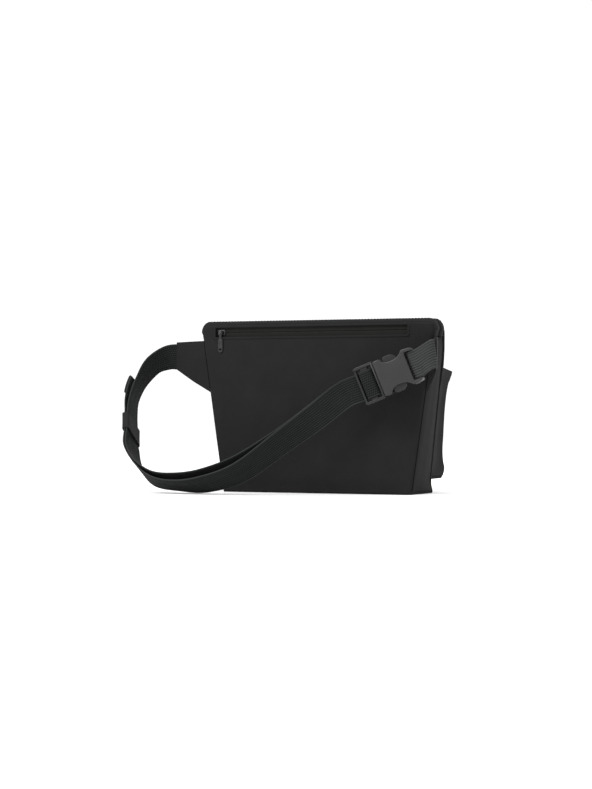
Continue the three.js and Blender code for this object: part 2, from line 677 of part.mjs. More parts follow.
function addFemale() {
  const w = SOCKET_HALF_WIDTH;
  const waist = w - 5.4;
  const hourglass = new THREE.Shape();
  hourglass.moveTo(MOUTH_X, -w);
  hourglass.lineTo(-2, -w);
  hourglass.quadraticCurveTo(0, -waist, 7, -waist);
  hourglass.quadraticCurveTo(15, -waist, 18, -w + 1);
  hourglass.quadraticCurveTo(19, -w, 21, -w);
  hourglass.lineTo(FEMALE_END_X - 2, -w + 0.8);
  hourglass.quadraticCurveTo(FEMALE_END_X, -w + 1.4, FEMALE_END_X, -w + 3.2);
  hourglass.lineTo(FEMALE_END_X, w - 3.2);
  hourglass.quadraticCurveTo(FEMALE_END_X, w - 1.4, FEMALE_END_X - 2, w - 0.8);
  hourglass.lineTo(21, w);
  hourglass.quadraticCurveTo(19, w, 18, w - 1);
  hourglass.quadraticCurveTo(15, waist, 7, waist);
  hourglass.quadraticCurveTo(0, waist, -2, w);
  hourglass.lineTo(MOUTH_X, w);
  const body = slab(hourglass, -5.8, 5.8);
  const cavity = box(MOUTH_X - 1, 17, -3.1, 3.1, -w + 2.2, w - 2.2);
  const windows = [1, -1].map((side) => {
    const z = [side * 7, side * 20];
    return box(-0.9, 17, -3.1, 3.1, Math.min(...z), Math.max(...z));
  });
  const slot = box(21, 25, -7, 7, -13.2, 13.2);
  const thinBar = [box(24, 30, 2, 7, -13.2, 13.2), box(24, 30, -7, -2, -13.2, 13.2)];
  add('buckle_female', cut(body, cavity, ...windows, slot, ...thinBar), plastic, buckle);
}

// Doubled webbing from the right wing's end, round the female half's bar and back.
function addStub() {
  const outer = 3.1; // from the bar's middle plane to the webbing's middle
  const bar = fromBuckle(27, 0, 0);
  const out = new THREE.Vector3(0, -1, 0).transformDirection(buckle.matrixWorld);
  const shift = (point, y) => new THREE.Vector3(...point).addScaledVector(out, y).toArray();
  const edge = buckleEdge;
  const upright = [0, 0, 1.04]; // the fold at the wing's end is upright, so it crosses the webbing aslant
  const leaning = [-0.2, -0.03, 0.99];
  const route = [
    { at: [125.4, -51.8, 129.3], edge: upright },
    { at: [124.4, -54, 128.8], edge: upright },
    { at: [121.9, -54.8, 127.4], edge: upright },
    { at: [117.8, -53.4, 125], edge: leaning },
    { at: shift(fromBuckle(30.5, 0, 0), -outer), edge },
    { at: shift(bar, -outer), edge },
    { at: shift(fromBuckle(23.4, 0, 0), -outer + 0.9), edge },
    { at: fromBuckle(22.6, 0, 0), edge },
    { at: shift(fromBuckle(23.4, 0, 0), outer - 0.9), edge },
    { at: shift(bar, outer), edge },
    { at: shift(fromBuckle(30.5, 0, 0), outer), edge },
    { at: [118, -57.6, 125], edge: leaning },
    { at: [123, -57.2, 127.9], edge: upright },
    { at: [126.6, -55, 129], edge: upright },
    { at: [127.4, -51.8, 129.3], edge: upright },
  ];
  add(
    'stub_webbing',
    ribbon(follow(route, 0, route.length - 1, true), () => [-WEBBING / 2, WEBBING / 2]),
    stubWebbing,
  );
}

addPanels();
addGussets();
addZipGusset();
addInnards();
addRearZip();
addMainZip();
addRearSlider();
addMainSlider();
addPocket();
addEyelets();
addRopeAnchor();
addWings();
addBelt();
addKeeper();
addBarWrap();
addMale();
addProngs();
addFemale();
addStub();

export default root;
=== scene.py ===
"""Looks of the waist-worn throw rope bag: sewn cloth, webbing, zips and a side-release buckle.

Lengths below are in millimetres and turned into metres when a mesh is made.
"""

import math

import bmesh
import bpy
import numpy as np
from mathutils import Matrix, Vector, noise


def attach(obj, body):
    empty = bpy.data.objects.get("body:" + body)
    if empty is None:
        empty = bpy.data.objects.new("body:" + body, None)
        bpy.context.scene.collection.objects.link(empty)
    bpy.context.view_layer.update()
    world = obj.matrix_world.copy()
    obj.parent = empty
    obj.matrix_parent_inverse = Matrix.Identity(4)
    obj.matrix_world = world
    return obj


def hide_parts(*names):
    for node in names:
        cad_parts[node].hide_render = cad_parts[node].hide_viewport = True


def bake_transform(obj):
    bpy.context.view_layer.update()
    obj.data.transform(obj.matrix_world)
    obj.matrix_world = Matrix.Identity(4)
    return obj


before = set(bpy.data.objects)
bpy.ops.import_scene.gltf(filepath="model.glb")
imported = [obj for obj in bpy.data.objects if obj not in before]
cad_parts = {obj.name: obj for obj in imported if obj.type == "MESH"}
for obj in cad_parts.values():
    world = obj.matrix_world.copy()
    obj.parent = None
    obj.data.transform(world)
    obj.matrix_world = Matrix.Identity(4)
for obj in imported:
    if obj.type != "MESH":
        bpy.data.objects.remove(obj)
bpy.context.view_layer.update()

# ---------- dimensions shared with the CAD part ----------
MM = 0.001
BAG_HEIGHT = 158.5
HALF_BOTTOM, HALF_TOP = 95.0, 118.0
BACK_Y = -29.5
FRONT_PROFILE = [(0, 22.5), (120, 9.5), (139, 4.5), (146, 0), (158.5, -1)]
FABRIC = 2.5
GAP = 0.3
CORNER = 6.5  # a little tighter than the CAD part's 8
TOP_CROWN, SIDE_CROWN, TOP_LINING = 3.8, 1.6, 2.0
SPLIT_Z = 146.0
INNER_BACK_Y = BACK_Y + FABRIC + GAP
POCKET_FABRIC = 2.0
POCKET_BOTTOM, POCKET_TOP = 13.0, 112.0
POCKET_PROFILE = [(13, 51), (17, 55.5), (22, 57), (29, 50.5), (38, 45), (55, 40.2), (68, 36.8), (84, 33.8),
                  (97, 33.5), (105, 35.5), (112, 40)]
REAR_ZIP_Z = 151.6
REAR_ZIP_X = (-102.5, 92.0)
REAR_HALF = 4.3
MAIN_ZIP_Y = -15.2
MAIN_LIP_HALF = 3.0
MAIN_ZIP_HALF_LENGTH = 97.0
MAIN_TAPE_Z = BAG_HEIGHT - TOP_LINING - GAP - 0.7
WEBBING_WIDTH = 25.0
WEBBING = 1.5
EYELET_X, EYELET_Y = (-40.0, 40.0), 36.0
BUCKLE_CENTRE = np.array([84.9, -58.0, 109.1])
BUCKLE_HEADING, BUCKLE_RISE = math.radians(8.8), math.radians(22.3)
SIDES = (("left", -1), ("right", 1))


def mix(a, b, t):
    return a + (b - a) * t


def half_width(z):
    return mix(HALF_BOTTOM, HALF_TOP, z / BAG_HEIGHT)


def front_y(z):
    """The front panel's outer face: its profile with the bends softened."""
    heights, values = zip(*FRONT_PROFILE)
    return sum(np.interp(z + d, heights, values) for d in (-6, -3, 0, 3, 6)) / 5


def smooth(a, b, x):
    t = np.clip((np.asarray(x, float) - a) / (b - a), 0, 1)
    return t * t * (3 - 2 * t)


def hump(x, middle, width):
    """A bell that is 1 at the middle and has died out by about two widths from it."""
    return np.exp(-(((x - middle) / width) ** 2))


def belly(u, v):
    """A padded panel's swell: most in the middle, nothing at its edges."""
    return np.maximum(1 - u * u, 0) ** 0.7 * np.maximum(np.sin(np.pi * v), 0) ** 0.6


def unit(vectors):
    return vectors / np.linalg.norm(vectors, axis=-1)[..., None]


def run_along(points):
    """How far along a line of points each one is."""
    return np.concatenate([[0], np.cumsum(np.linalg.norm(np.diff(points, axis=0), axis=1))])


# ---------- camera, light and floor ----------
AZIMUTH = math.radians(23.5)
AIM = np.array([-18.7, -30.3, 81.6])
CAMERA_DISTANCE = 1906.0


def add_camera():
    data = bpy.data.cameras.new("camera")
    data.sensor_width = 36
    data.lens = 92.85
    data.shift_y = 0.01457
    data.clip_start, data.clip_end = 0.05, 50
    cam = bpy.data.objects.new("camera", data)
    away = np.array([math.sin(AZIMUTH), -math.cos(AZIMUTH), 0.0])
    cam.location = Vector((AIM + away * CAMERA_DISTANCE) * MM)
    cam.rotation_euler = (math.pi / 2, 0, AZIMUTH)
    bpy.context.scene.collection.objects.link(cam)
    bpy.context.scene.camera = cam


def add_light(name, place, size, power, target=(0, -0.02, 0.08)):
    data = bpy.data.lights.new(name, "AREA")
    data.shape = "DISK"
    data.size = size
    data.energy = power
    lamp = bpy.data.objects.new(name, data)
    lamp.location = place
    lamp.rotation_euler = (Vector(target) - Vector(place)).to_track_quat("-Z", "Y").to_euler()
    bpy.context.scene.collection.objects.link(lamp)


def add_studio():
    scene = bpy.context.scene
    scene.view_settings.view_transform = "Standard"
    world = bpy.data.worlds.new("studio")
    scene.world = world
    world.use_nodes = True
    sky = world.node_tree.nodes["Background"]
    sky.inputs["Color"].default_value = (1, 1, 1, 1)
    sky.inputs["Strength"].default_value = 1.12
    add_light("key", (-0.7, -1.3, 1.35), 0.9, 26)
    add_light("fill", (1.5, -0.6, 0.8), 1.2, 3)
    add_light("back", (0.5, 1.4, 1.1), 1.2, 14)
    side = 12.0  # metres
    mesh = bpy.data.meshes.new("floor")
    corners = [(-side, -side, 0), (side, -side, 0), (side, side, 0), (-side, side, 0)]
    mesh.from_pydata(corners, [], [(0, 1, 2, 3)])
    floor = bpy.data.objects.new("floor", mesh)
    scene.collection.objects.link(floor)
    look = Look("floor_white", 0.9, 0.5)
    look.put(look.shader.inputs["Base Color"], (0.93, 0.93, 0.93, 1))
    look.bump(look.node("TexNoise", Scale=40).outputs["Fac"], 0.02, 0.0005)
    mesh.materials.append(look.material)


# ---------- materials ----------
class Look:
    """A material's node graph, with the few kinds of node that the materials below are made of."""

    def __init__(self, name, roughness, specular, sheen=0.0, metallic=0.0):
        self.material = bpy.data.materials.new(name)
        self.material.use_nodes = True
        self.nodes, self.links = self.material.node_tree.nodes, self.material.node_tree.links
        self.shader = self.nodes["Principled BSDF"]
        values = {"Roughness": roughness, "Specular IOR Level": specular, "Metallic": metallic,
                  "Sheen Weight": sheen, "Sheen Roughness": 0.4, "Sheen Tint": (1, 1, 1, 1)}
        for socket, value in values.items():
            self.shader.inputs[socket].default_value = value

    def node(self, kind, **inputs):
        node = self.nodes.new("ShaderNode" + kind)
        for socket, value in inputs.items():
            self.put(node.inputs[socket], value)
        return node

    def put(self, socket, value):
        """A number for a socket, or a link to it."""
        if isinstance(value, bpy.types.NodeSocket):
            self.links.new(value, socket)
        else:
            socket.default_value = value

    def maths(self, operation, *values):
        node = self.node("Math")
        node.operation = operation
        for socket, value in zip(node.inputs, values):
            self.put(socket, value)
        return node.outputs[0]

    def times(self, a, b, plus=None):
        return self.maths("MULTIPLY", a, b) if plus is None else self.maths("MULTIPLY_ADD", a, b, plus)

    def clamped(self, value):
        node = self.node("Clamp")
        self.put(node.inputs[0], value)
        return node.outputs[0]

    def bump(self, height, strength, distance, before=None):
        node = self.node("Bump", Strength=strength, Distance=distance, Height=height)
        if before is not None:
            self.links.new(before.outputs["Normal"], node.inputs["Normal"])
        self.links.new(node.outputs["Normal"], self.shader.inputs["Normal"])
        return node

    def tinted(self, factor, dark, light):
        """Base colour that runs between two colours as factor goes from 0 to 1."""
        ramp = self.node("Mix")
        ramp.data_type = "RGBA"
        ramp.clamp_factor = False
        for index, value in ((6, (*dark, 1)), (7, (*light, 1)), (0, factor)):
            self.put(ramp.inputs[index], value)
        self.links.new(ramp.outputs[2], self.shader.inputs["Base Color"])

    def place(self):
        """The piece's own coordinates in the row frame."""
        return self.node("TexCoord").outputs["Object"]

    def noise(self, scale, detail=3.0):
        node = self.node("TexNoise", Scale=scale, Detail=detail, Roughness=0.55, Vector=self.place())
        return node.outputs["Fac"]

    def weave(self):
        """Millimetres along and across a sewn strip, kept on its vertices."""
        attribute = self.node("Attribute")
        attribute.attribute_name = "weave"
        return self.node("SeparateXYZ", Vector=attribute.outputs["Vector"]).outputs[:2]

    def wave(self, value, pitch, phase=None):
        """A wave from 0 to 1 with that pitch in millimetres."""
        turns = self.times(value, 2 * math.pi / pitch)
        if phase is not None:
            turns = self.maths("ADD", turns, phase)
        return self.times(self.maths("SINE", turns), 0.5, 0.5)

    def rubbed(self, strength):
        """Outward edges lighter, as worn edges are, and inward corners darker by the same measure."""
        pointed = self.node("NewGeometry").outputs["Pointiness"]
        return self.times(self.maths("SUBTRACT", pointed, 0.5), strength)


def cloth_material(name, dark, light, knit=0.75, grain=0.35):
    """Knitted face cloth over foam: a fine diagonal knit, soft mottling and a little lint."""
    look = Look(name, 0.95, 0.05, 0.02)
    parts = look.node("SeparateXYZ", Vector=look.place()).outputs
    x, y, z = (look.times(part, 1 / MM) for part in parts)
    across = look.maths("ADD", x, y)
    thread = look.times(look.wave(across, knit), look.wave(look.maths("ADD", z, look.times(across, 0.5)), knit))
    mottle = look.noise(45, 4)
    tone = look.times(thread, 0.35, look.times(mottle, 0.5))
    look.tinted(look.times(look.noise(1400, 2), 0.25, tone), dark, light)
    first = look.bump(thread, grain, 0.00012)
    look.bump(mottle, 0.25, 0.0012, first)
    return look.material


# Width of the band along each edge of the webbing that gets the painted highlight.
SELVEDGE_HIGHLIGHT_WIDTH = 1.1


def webbing_material(name, dark, light, rib, pick, half=None, selvedge_highlight=1.1):
    """Woven webbing: ribs along it, and picks that step sideways from rib to rib.

    half is the webbing's half width; along both edges a painted highlight lightens the colour, standing in for
    light caught there, by the amount the last argument gives.
    """
    look = Look(name, 0.85, 0.08, 0.02)
    along, across = look.weave()
    picks = look.wave(along, pick, look.times(across, math.pi / rib))
    cell = look.times(look.wave(across, rib), look.times(picks, 0.8, 0.2))
    fuzz = look.noise(2200, 2)
    tone = look.times(cell, 0.95, look.times(look.noise(90), 0.2))
    tone = look.times(fuzz, 0.12, tone)
    if half is not None:
        # Painted highlight: a band along each edge is lightened as though it caught the light.
        rim = look.maths("SUBTRACT", look.maths("ABSOLUTE", across), half - SELVEDGE_HIGHLIGHT_WIDTH)
        rim = look.maths("MINIMUM", look.maths("MAXIMUM", rim, 0.0), 0.8)
        tone = look.times(rim, selvedge_highlight, tone)
    look.tinted(tone, dark, light)
    first = look.bump(cell, 0.7, 0.00025)
    look.bump(fuzz, 0.15, 0.0001, first)
    return look.material


def tape_material(name, dark, light):
    """Zip tape: a very fine ribbed weave."""
    look = Look(name, 0.85, 0.08, 0.02)
    along, across = look.weave()
    cell = look.times(look.wave(along, 0.8), look.wave(across, 1.1))
    look.tinted(look.times(look.noise(160), 0.5, look.times(cell, 0.5)), dark, light)
    look.bump(cell, 0.5, 0.00012)
    return look.material


def plastic_material(name, dark, light, roughness, specular):
    """Satin moulded plastic: spark-eroded grain, faint flow marks and rubbed edges."""
    look = Look(name, roughness, specular)
    flow = look.noise(60, 4)
    look.tinted(look.clamped(look.times(flow, 0.7, look.rubbed(0.3))), dark, light)
    look.put(look.shader.inputs["Roughness"], look.times(flow, 0.12, roughness - 0.06))
    look.bump(look.noise(3200, 2), 0.12, 0.00006)
    return look.material


def metal_material(name, dark, light, roughness):
    """Plated zinc: small scratches, worn bright on its edges."""
    look = Look(name, roughness, 0.5, metallic=1.0)
    cloud = look.noise(500, 4)
    look.tinted(look.clamped(look.times(cloud, 0.7, look.rubbed(8))), dark, light)
    look.put(look.shader.inputs["Roughness"], look.times(cloud, 0.2, roughness - 0.1))
    look.bump(cloud, 0.1, 0.00004)
    return look.material


def foam_material(name, dark, light):
    """Closed-cell foam: small round cells on a cut face."""
    look = Look(name, 0.95, 0.1)
    cells = look.node("TexVoronoi", Scale=900, Vector=look.place()).outputs["Distance"]
    look.tinted(cells, dark, light)
    look.bump(cells, 0.4, 0.0002)
    return look.material


def grey(value, tint=(1, 1, 1)):
    return tuple(value * t for t in tint)


COOL, WARM = (0.98, 1, 1.02), (1.02, 1, 0.95)
BELT_TINT, STUB_TINT = (0.94, 1.02, 1), (0.97, 1.01, 1)
HALF_WEBBING = WEBBING_WIDTH / 2

CLOTH = cloth_material("shell_cloth", grey(0.0094), grey(0.0184))
# The right wing also wears this lighter cloth, as painted light against the shade on it.
GUSSET = cloth_material("gusset_cloth", grey(0.0115), grey(0.022))
BINDING = cloth_material("binding_cloth", grey(0.0105), grey(0.02), knit=1.1, grain=0.5)
# Painted shadow: near-black cloth for the tubes that darken the seams between the back panel and the side
# gussets.
SEAM_SHADOW_CLOTH = cloth_material("seam_shade", grey(0.002), grey(0.005))
LINING = cloth_material("lining_cloth", grey(0.008), grey(0.016), knit=0.6)
FOAM = foam_material("float_foam_cells", grey(0.03), grey(0.05))
THREAD = webbing_material("sewing_thread", grey(0.014), grey(0.03), 0.5, 0.5)
KEEPER = webbing_material("keeper_elastic", grey(0.010), grey(0.025), 0.9, 1.1)
BELT = webbing_material("belt_weave", grey(0.0015, BELT_TINT), grey(0.0225, BELT_TINT), 2.08, 1.9,
                        HALF_WEBBING)
STUB = webbing_material("stub_weave", grey(0.014, STUB_TINT), grey(0.052, STUB_TINT), 2.27, 1.4,
                        HALF_WEBBING, selvedge_highlight=0.3)
TAPE_CLOTH = tape_material("zip_tape_weave", grey(0.009, WARM), grey(0.018, WARM))
COIL = plastic_material("zip_coil_nylon", grey(0.009), grey(0.018), 0.5, 0.25)
PLASTIC = plastic_material("buckle_plastic", grey(0.0095, COOL), grey(0.022, COOL), 0.42, 0.36)
# Painted shade: the buckle's plastic made darker for the male half and its prongs, which sit in shade.
SHADED_MALE_PLASTIC = plastic_material("male_plastic_painted_shade", grey(0.006, COOL), grey(0.013, COOL), 0.38, 0.3)
METAL = metal_material("zip_metal", grey(0.02), grey(0.075), 0.3)
EYELET = metal_material("eyelet_metal", (0.06, 0.06, 0.058), (0.2, 0.2, 0.195), 0.35)


# ---------- mesh tools ----------
def link_mesh(name, mesh, material):
    mesh.materials.append(material)
    obj = bpy.data.objects.new(name, mesh)
    bpy.context.scene.collection.objects.link(obj)
    return obj


def finish_mesh(mesh, sharp=40.0, recalc=True):
    """Faces outwards, no loose points, smooth shading with sharp edges kept."""
    bm = bmesh.new()
    bm.from_mesh(mesh)
    bmesh.ops.delete(bm, geom=[v for v in bm.verts if not v.link_faces], context="VERTS")
    if recalc:
        bmesh.ops.recalc_face_normals(bm, faces=bm.faces)
    limit = math.radians(sharp)
    for edge in bm.edges:
        edge.smooth = not (len(edge.link_faces) == 2 and edge.calc_face_angle(0) > limit)
    for face in bm.faces:
        face.smooth = True
    bm.to_mesh(mesh)
    bm.free()
    mesh.update()


def mesh_object(name, points, faces, material, weave=None, sharp=40.0):
    mesh = bpy.data.meshes.new(name)
    mesh.from_pydata((np.asarray(points, float) * MM).tolist(), [], faces)
    if weave is not None:
        attribute = mesh.attributes.new("weave", "FLOAT_VECTOR", "POINT")
        flat = np.zeros((len(points), 3), np.float32)
        flat[:, :2] = weave
        attribute.data.foreach_set("vector", flat.ravel())
    finish_mesh(mesh, sharp)
    return link_mesh(name, mesh, material)


def plate(name, outer, inner, material, mask=None):
    """A closed sheet between two grids of points, with walls round its border and round any hole in mask."""
    nu, nv = outer.shape[:2]
    if mask is None:
        mask = np.ones((nu - 1, nv - 1), bool)
    padded = np.zeros((nu + 1, nv + 1), bool)
    padded[1:-1, 1:-1] = mask
    back = nu * nv
    at = lambda i, j: i * nv + j
    faces = []
    for i in range(nu - 1):
        for j in range(nv - 1):
            if not mask[i, j]:
                continue
            quad = [at(i, j), at(i + 1, j), at(i + 1, j + 1), at(i, j + 1)]
            faces.append(quad)
            faces.append([back + k for k in reversed(quad)])
            for (a, b), there in (
                ((quad[0], quad[1]), padded[i + 1, j]),
                ((quad[1], quad[2]), padded[i + 2, j + 1]),
                ((quad[2], quad[3]), padded[i + 1, j + 2]),
                ((quad[3], quad[0]), padded[i, j + 1]),
            ):
                if not there:
                    faces.append([b, a, back + a, back + b])
    points = np.concatenate([outer.reshape(-1, 3), inner.reshape(-1, 3)])
    return mesh_object(name, points, faces, material)


def tube(name, rings, material, weave=None, sharp=40.0, closed=False):
    """A loft through closed rings of points, capped unless its own ends meet."""
    rings = np.asarray(rings, float)
    n, m = rings.shape[:2]
    faces = []
    for i in range(n if closed else n - 1):
        for j in range(m):
            a, b = i * m + j, i * m + (j + 1) % m
            c, d = ((i + 1) % n) * m + (j + 1) % m, ((i + 1) % n) * m + j
            faces.append([a, b, c, d])
    if not closed:
        faces.append(list(range(m)))
        faces.append([(n - 1) * m + j for j in reversed(range(m))])
    return mesh_object(name, rings.reshape(-1, 3), faces, material, weave, sharp)


def joined(name, parts):
    """Several mesh objects as one, which keeps the first one's material."""
    bm = bmesh.new()
    for part in parts:
        part.data.transform(part.matrix_world)
        bm.from_mesh(part.data)
    mesh = bpy.data.meshes.new(name)
    bm.to_mesh(mesh)
    bm.free()
    material = parts[0].data.materials[0]
    for part in parts:
        bpy.data.objects.remove(part)
    return link_mesh(name, mesh, material)


def boolean(obj, tool, operation="DIFFERENCE"):
    """obj with tool cut from it or added to it; tool is used up."""
    modifier = obj.modifiers.new("cut", "BOOLEAN")
    modifier.operation = operation
    modifier.solver = "EXACT"
    modifier.object = tool
    bake_modifiers(obj)
    bpy.data.objects.remove(tool)
    return obj


def bake_modifiers(obj):
    bpy.context.view_layer.update()
    shown = obj.evaluated_get(bpy.context.evaluated_depsgraph_get())
    mesh = bpy.data.meshes.new_from_object(shown, preserve_all_data_layers=True,
                                           depsgraph=bpy.context.evaluated_depsgraph_get())
    obj.modifiers.clear()
    obj.data = mesh
    return obj


def outline_solid(name, outline, low, high, bevel, material, holes=(), steps=3):
    """A bevelled slab: a closed outline drawn in X and Z, as thick along Y as low to high."""
    curve = bpy.data.curves.new(name, "CURVE")
    curve.dimensions = "2D"
    curve.fill_mode = "BOTH"
    curve.extrude = ((high - low) / 2 - bevel) * MM
    curve.bevel_depth = bevel * MM
    curve.bevel_resolution = steps
    curve.offset = -bevel * MM
    for loop in [outline, *holes]:
        spline = curve.splines.new("POLY")
        spline.points.add(len(loop) - 1)
        for point, (x, z) in zip(spline.points, loop):
            point.co = (x * MM, z * MM, 0, 1)
        spline.use_cyclic_u = True
    obj = bpy.data.objects.new(name + "_curve", curve)
    bpy.context.scene.collection.objects.link(obj)
    bpy.context.view_layer.update()
    mesh = bpy.data.meshes.new_from_object(obj)
    bpy.data.objects.remove(obj)
    # The curve lies in X and Y: stand it up so that its thickness runs along Y.
    mesh.transform(Matrix.Translation((0, (low + high) / 2 * MM, 0)) @ Matrix.Rotation(math.pi / 2, 4, "X"))
    bm = bmesh.new()
    bm.from_mesh(mesh)
    bmesh.ops.remove_doubles(bm, verts=bm.verts, dist=1e-6)
    bm.to_mesh(mesh)
    bm.free()
    mesh.materials.clear()
    finish_mesh(mesh, 50)
    return link_mesh(name, mesh, material)


def rounded_box(name, x, y, z, radius, material, steps=3):
    """A box with rounded edges, from its three pairs of limits."""
    bm = bmesh.new()
    bmesh.ops.create_cube(bm, size=1)
    for v in bm.verts:
        v.co = Vector((mix(*x, v.co.x + 0.5), mix(*y, v.co.y + 0.5), mix(*z, v.co.z + 0.5))) * MM
    if radius > 0:
        bmesh.ops.bevel(bm, geom=bm.edges[:], offset=radius * MM, segments=steps, profile=0.5, affect="EDGES")
    mesh = bpy.data.meshes.new(name)
    bm.to_mesh(mesh)
    bm.free()
    finish_mesh(mesh, 50)
    return link_mesh(name, mesh, material)


def lathe(name, profile, centre, material, sides=48):
    """A closed ring turned about the vertical line through centre; profile is (radius, height)."""
    angles = np.linspace(0, 2 * math.pi, sides, endpoint=False)
    rings = [[(centre[0] + r * math.cos(a), centre[1] + r * math.sin(a), centre[2] + h) for r, h in profile]
             for a in angles]
    return tube(name, rings, material, closed=True)


def soften_edges(obj, width):
    modifier = obj.modifiers.new("edges", "BEVEL")
    modifier.width = width * MM
    modifier.segments = 2
    modifier.limit_method = "ANGLE"
    modifier.angle_limit = math.radians(40)
    modifier.use_clamp_overlap = True
    bake_modifiers(obj)
    finish_mesh(obj.data, 45, recalc=False)
    return obj


def settle(obj, body, nodes=()):
    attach(obj, body)
    if nodes:
        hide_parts(*nodes)
    return obj


# ---------- spacing and edge shapes ----------
def ends(radius, count=4):
    """Distances from an edge that follow a rounded corner of that radius."""
    return [radius * (1 - math.cos(k * math.pi / 2 / count)) for k in range(count + 1)]


def spaced(low, high, step, radius, extra=()):
    """Places from low to high about a step apart, and close together where an edge is rounded."""
    near = ends(radius)
    inside = np.linspace(low + near[-1], high - near[-1], max(int((high - low) / step), 2))
    places = [low + d for d in near] + list(inside[1:-1]) + [high - d for d in near] + list(extra)
    places = sorted(set(round(p, 4) for p in places if low - 1e-6 <= p <= high + 1e-6))
    kept = [places[0]]
    for p in places[1:]:
        if p - kept[-1] > 0.04:
            kept.append(p)
        elif p in extra:
            kept[-1] = p
    return np.array(kept)


def roll(distance, radius):
    """How far a rounded edge has dropped at a distance from its border."""
    d = np.clip(distance, 0, radius)
    return radius - np.sqrt(np.maximum(radius * radius - (radius - d) ** 2, 0))


def ripple(x, y, z, size, seed):
    """Soft unevenness from -1 to 1 over a grid."""
    out = np.zeros(np.broadcast(x, y, z).shape)
    xs, ys, zs = np.broadcast_arrays(x, y, z)
    for index in np.ndindex(out.shape):
        out[index] = noise.noise(Vector((xs[index] / size + seed, ys[index] / size, zs[index] / size)))
    return out


# Along each stitch: share of its length, of its thickness, and how far it stands up, in thicknesses.
STITCH_SHAPE = [(0.0, 0.15, -0.4), (0.18, 0.8, 0.1), (0.5, 1.0, 0.28), (0.82, 0.8, 0.1), (1.0, 0.15, -0.4)]


def sewn_line(name, points, facing, body="bag", stitch=2.2, space=0.9, thick=0.32, sink=0.1):
    """A row of stitches along points on cloth that faces one way, or one way for each point."""
    points = np.asarray(points, float)
    normals = np.broadcast_to(np.asarray(facing, float), points.shape)
    run = run_along(points)
    sample = lambda values, s: np.array([np.interp(s, run, values[:, k]) for k in range(3)])
    verts, faces = [], []
    s = 0.3
    while s + stitch < run[-1]:
        base = len(verts)
        for t, fat, lift in STITCH_SHAPE:
            at = s + t * stitch
            out = unit(sample(normals, at))
            ahead = unit(sample(points, at + 0.05) - sample(points, at - 0.05))
            side = np.cross(ahead, out)
            middle = sample(points, at) + out * (lift * thick - sink)
            for k in range(6):
                a = k * math.pi / 3
                verts.append(middle + (side * math.cos(a) + out * math.sin(a)) * thick * fat)
        last = base + 6 * (len(STITCH_SHAPE) - 1)
        for ring in range(base, last, 6):
            for k in range(6):
                a, b = ring + k, ring + (k + 1) % 6
                faces.append([a, b, b + 6, a + 6])
        faces.append([base + k for k in reversed(range(6))])
        faces.append([last + k for k in range(6)])
        s += stitch + space
    row = mesh_object(name, verts, faces, THREAD, np.array(verts)[:, [0, 2]], sharp=80)
    return settle(row, body)


# ---------- main pouch ----------
WINDOW_COLUMN_Z = 145.0  # above this the panel's columns stand upright, so that the zip window is square
INNER_SHARE = 0.9
RIM = 12.3


def panel_width(z):
    rise = np.maximum(z - (BAG_HEIGHT - CORNER), 0)
    return half_width(z) - (CORNER - np.sqrt(np.maximum(CORNER**2 - rise**2, 0)))


def panel_x(s, z):
    straight = INNER_SHARE * half_width(np.minimum(z, WINDOW_COLUMN_Z))
    share = np.clip((np.abs(s) - INNER_SHARE) / (1 - INNER_SHARE), 0, 1)
    outer = np.sign(s) * mix(straight, panel_width(z), share)
    return np.where(share > 0, outer, s / INNER_SHARE * straight)


def panel_inset(x, z):
    w = half_width(z)
    d = np.minimum(np.minimum(w - np.abs(x), z), BAG_HEIGHT - z)
    over_x, over_z = np.abs(x) - (w - CORNER), z - (BAG_HEIGHT - CORNER)
    corner = CORNER - np.hypot(over_x, over_z)
    return np.maximum(np.where((over_x > 0) & (over_z > 0), corner, d), 0)


def window_distance(x, z):
    """Distance outside the rear zip's window."""
    dx = np.maximum(np.maximum(REAR_ZIP_X[0] - x, x - REAR_ZIP_X[1]), 0)
    dz = np.maximum(np.abs(z - REAR_ZIP_Z) - REAR_HALF, 0)
    return np.hypot(dx, dz)


def back_swell(x, z):
    """How far the back panel's face stands out from flat: padded, with a soft fold down its right side."""
    u, v = x / half_width(z), z / BAG_HEIGHT
    calm = 1 - smooth(0.66, 0.8, v)
    dome = 1.7 * belly(u, v) * (1 - 0.65 * smooth(0.72, 0.85, v))
    from_right = half_width(z) - x
    fold = 3.4 * smooth(1, 34, from_right) * smooth(0.0, 0.1, v) * (1 - smooth(0.42, 0.8, v))
    fold = fold * mix(0.3, 1.0, smooth(-1.0, 0.5, u))
    pinch = -1.3 * hump(x, -88, 13) * smooth(0.12, 0.3, v) * (1 - smooth(0.4, 0.62, v))
    uneven = 0.55 * ripple(x, 0 * x, z, 62, 3.1) + 0.16 * ripple(x, 0 * x, z, 19, 7.7)
    return (dome + (fold + pinch + uneven) * calm) * smooth(0, 13, panel_inset(x, z))


def panel_columns(extra=()):
    near = ends(FABRIC) + [4.0, 6.5, 9.5, RIM]
    rim = [1 - (1 - INNER_SHARE) * d / RIM for d in near]
    core = list(np.linspace(-INNER_SHARE, INNER_SHARE, 45)[1:-1])
    upright = half_width(WINDOW_COLUMN_Z)
    extra = [x / upright for x in extra]
    core = [s for s in core if all(abs(s - e) > 0.006 for e in extra)]
    return np.array(sorted(rim + [-s for s in rim] + core + extra))


LIP_STEPS = [0, 0.12, 0.4, 0.8, 1.3, 1.9, 2.4, 2.8, 3.2, 3.8, 4.8]


def back_face(x, z):
    """The back panel's outer face: its swell, its rolled border, and the folded lips round the zip."""
    w = window_distance(x, z)
    below = z < REAR_ZIP_Z + REAR_HALF
    y = BACK_Y - back_swell(x, z) + roll(panel_inset(x, z), FABRIC)
    y = y + roll(w, 0.8) - 0.5 * (1 - smooth(1.7, 2.6, w)) * np.where(below, 1, 0.2)
    return y + np.where(below, 0.42 * hump(w, 2.8, 0.45), 0)


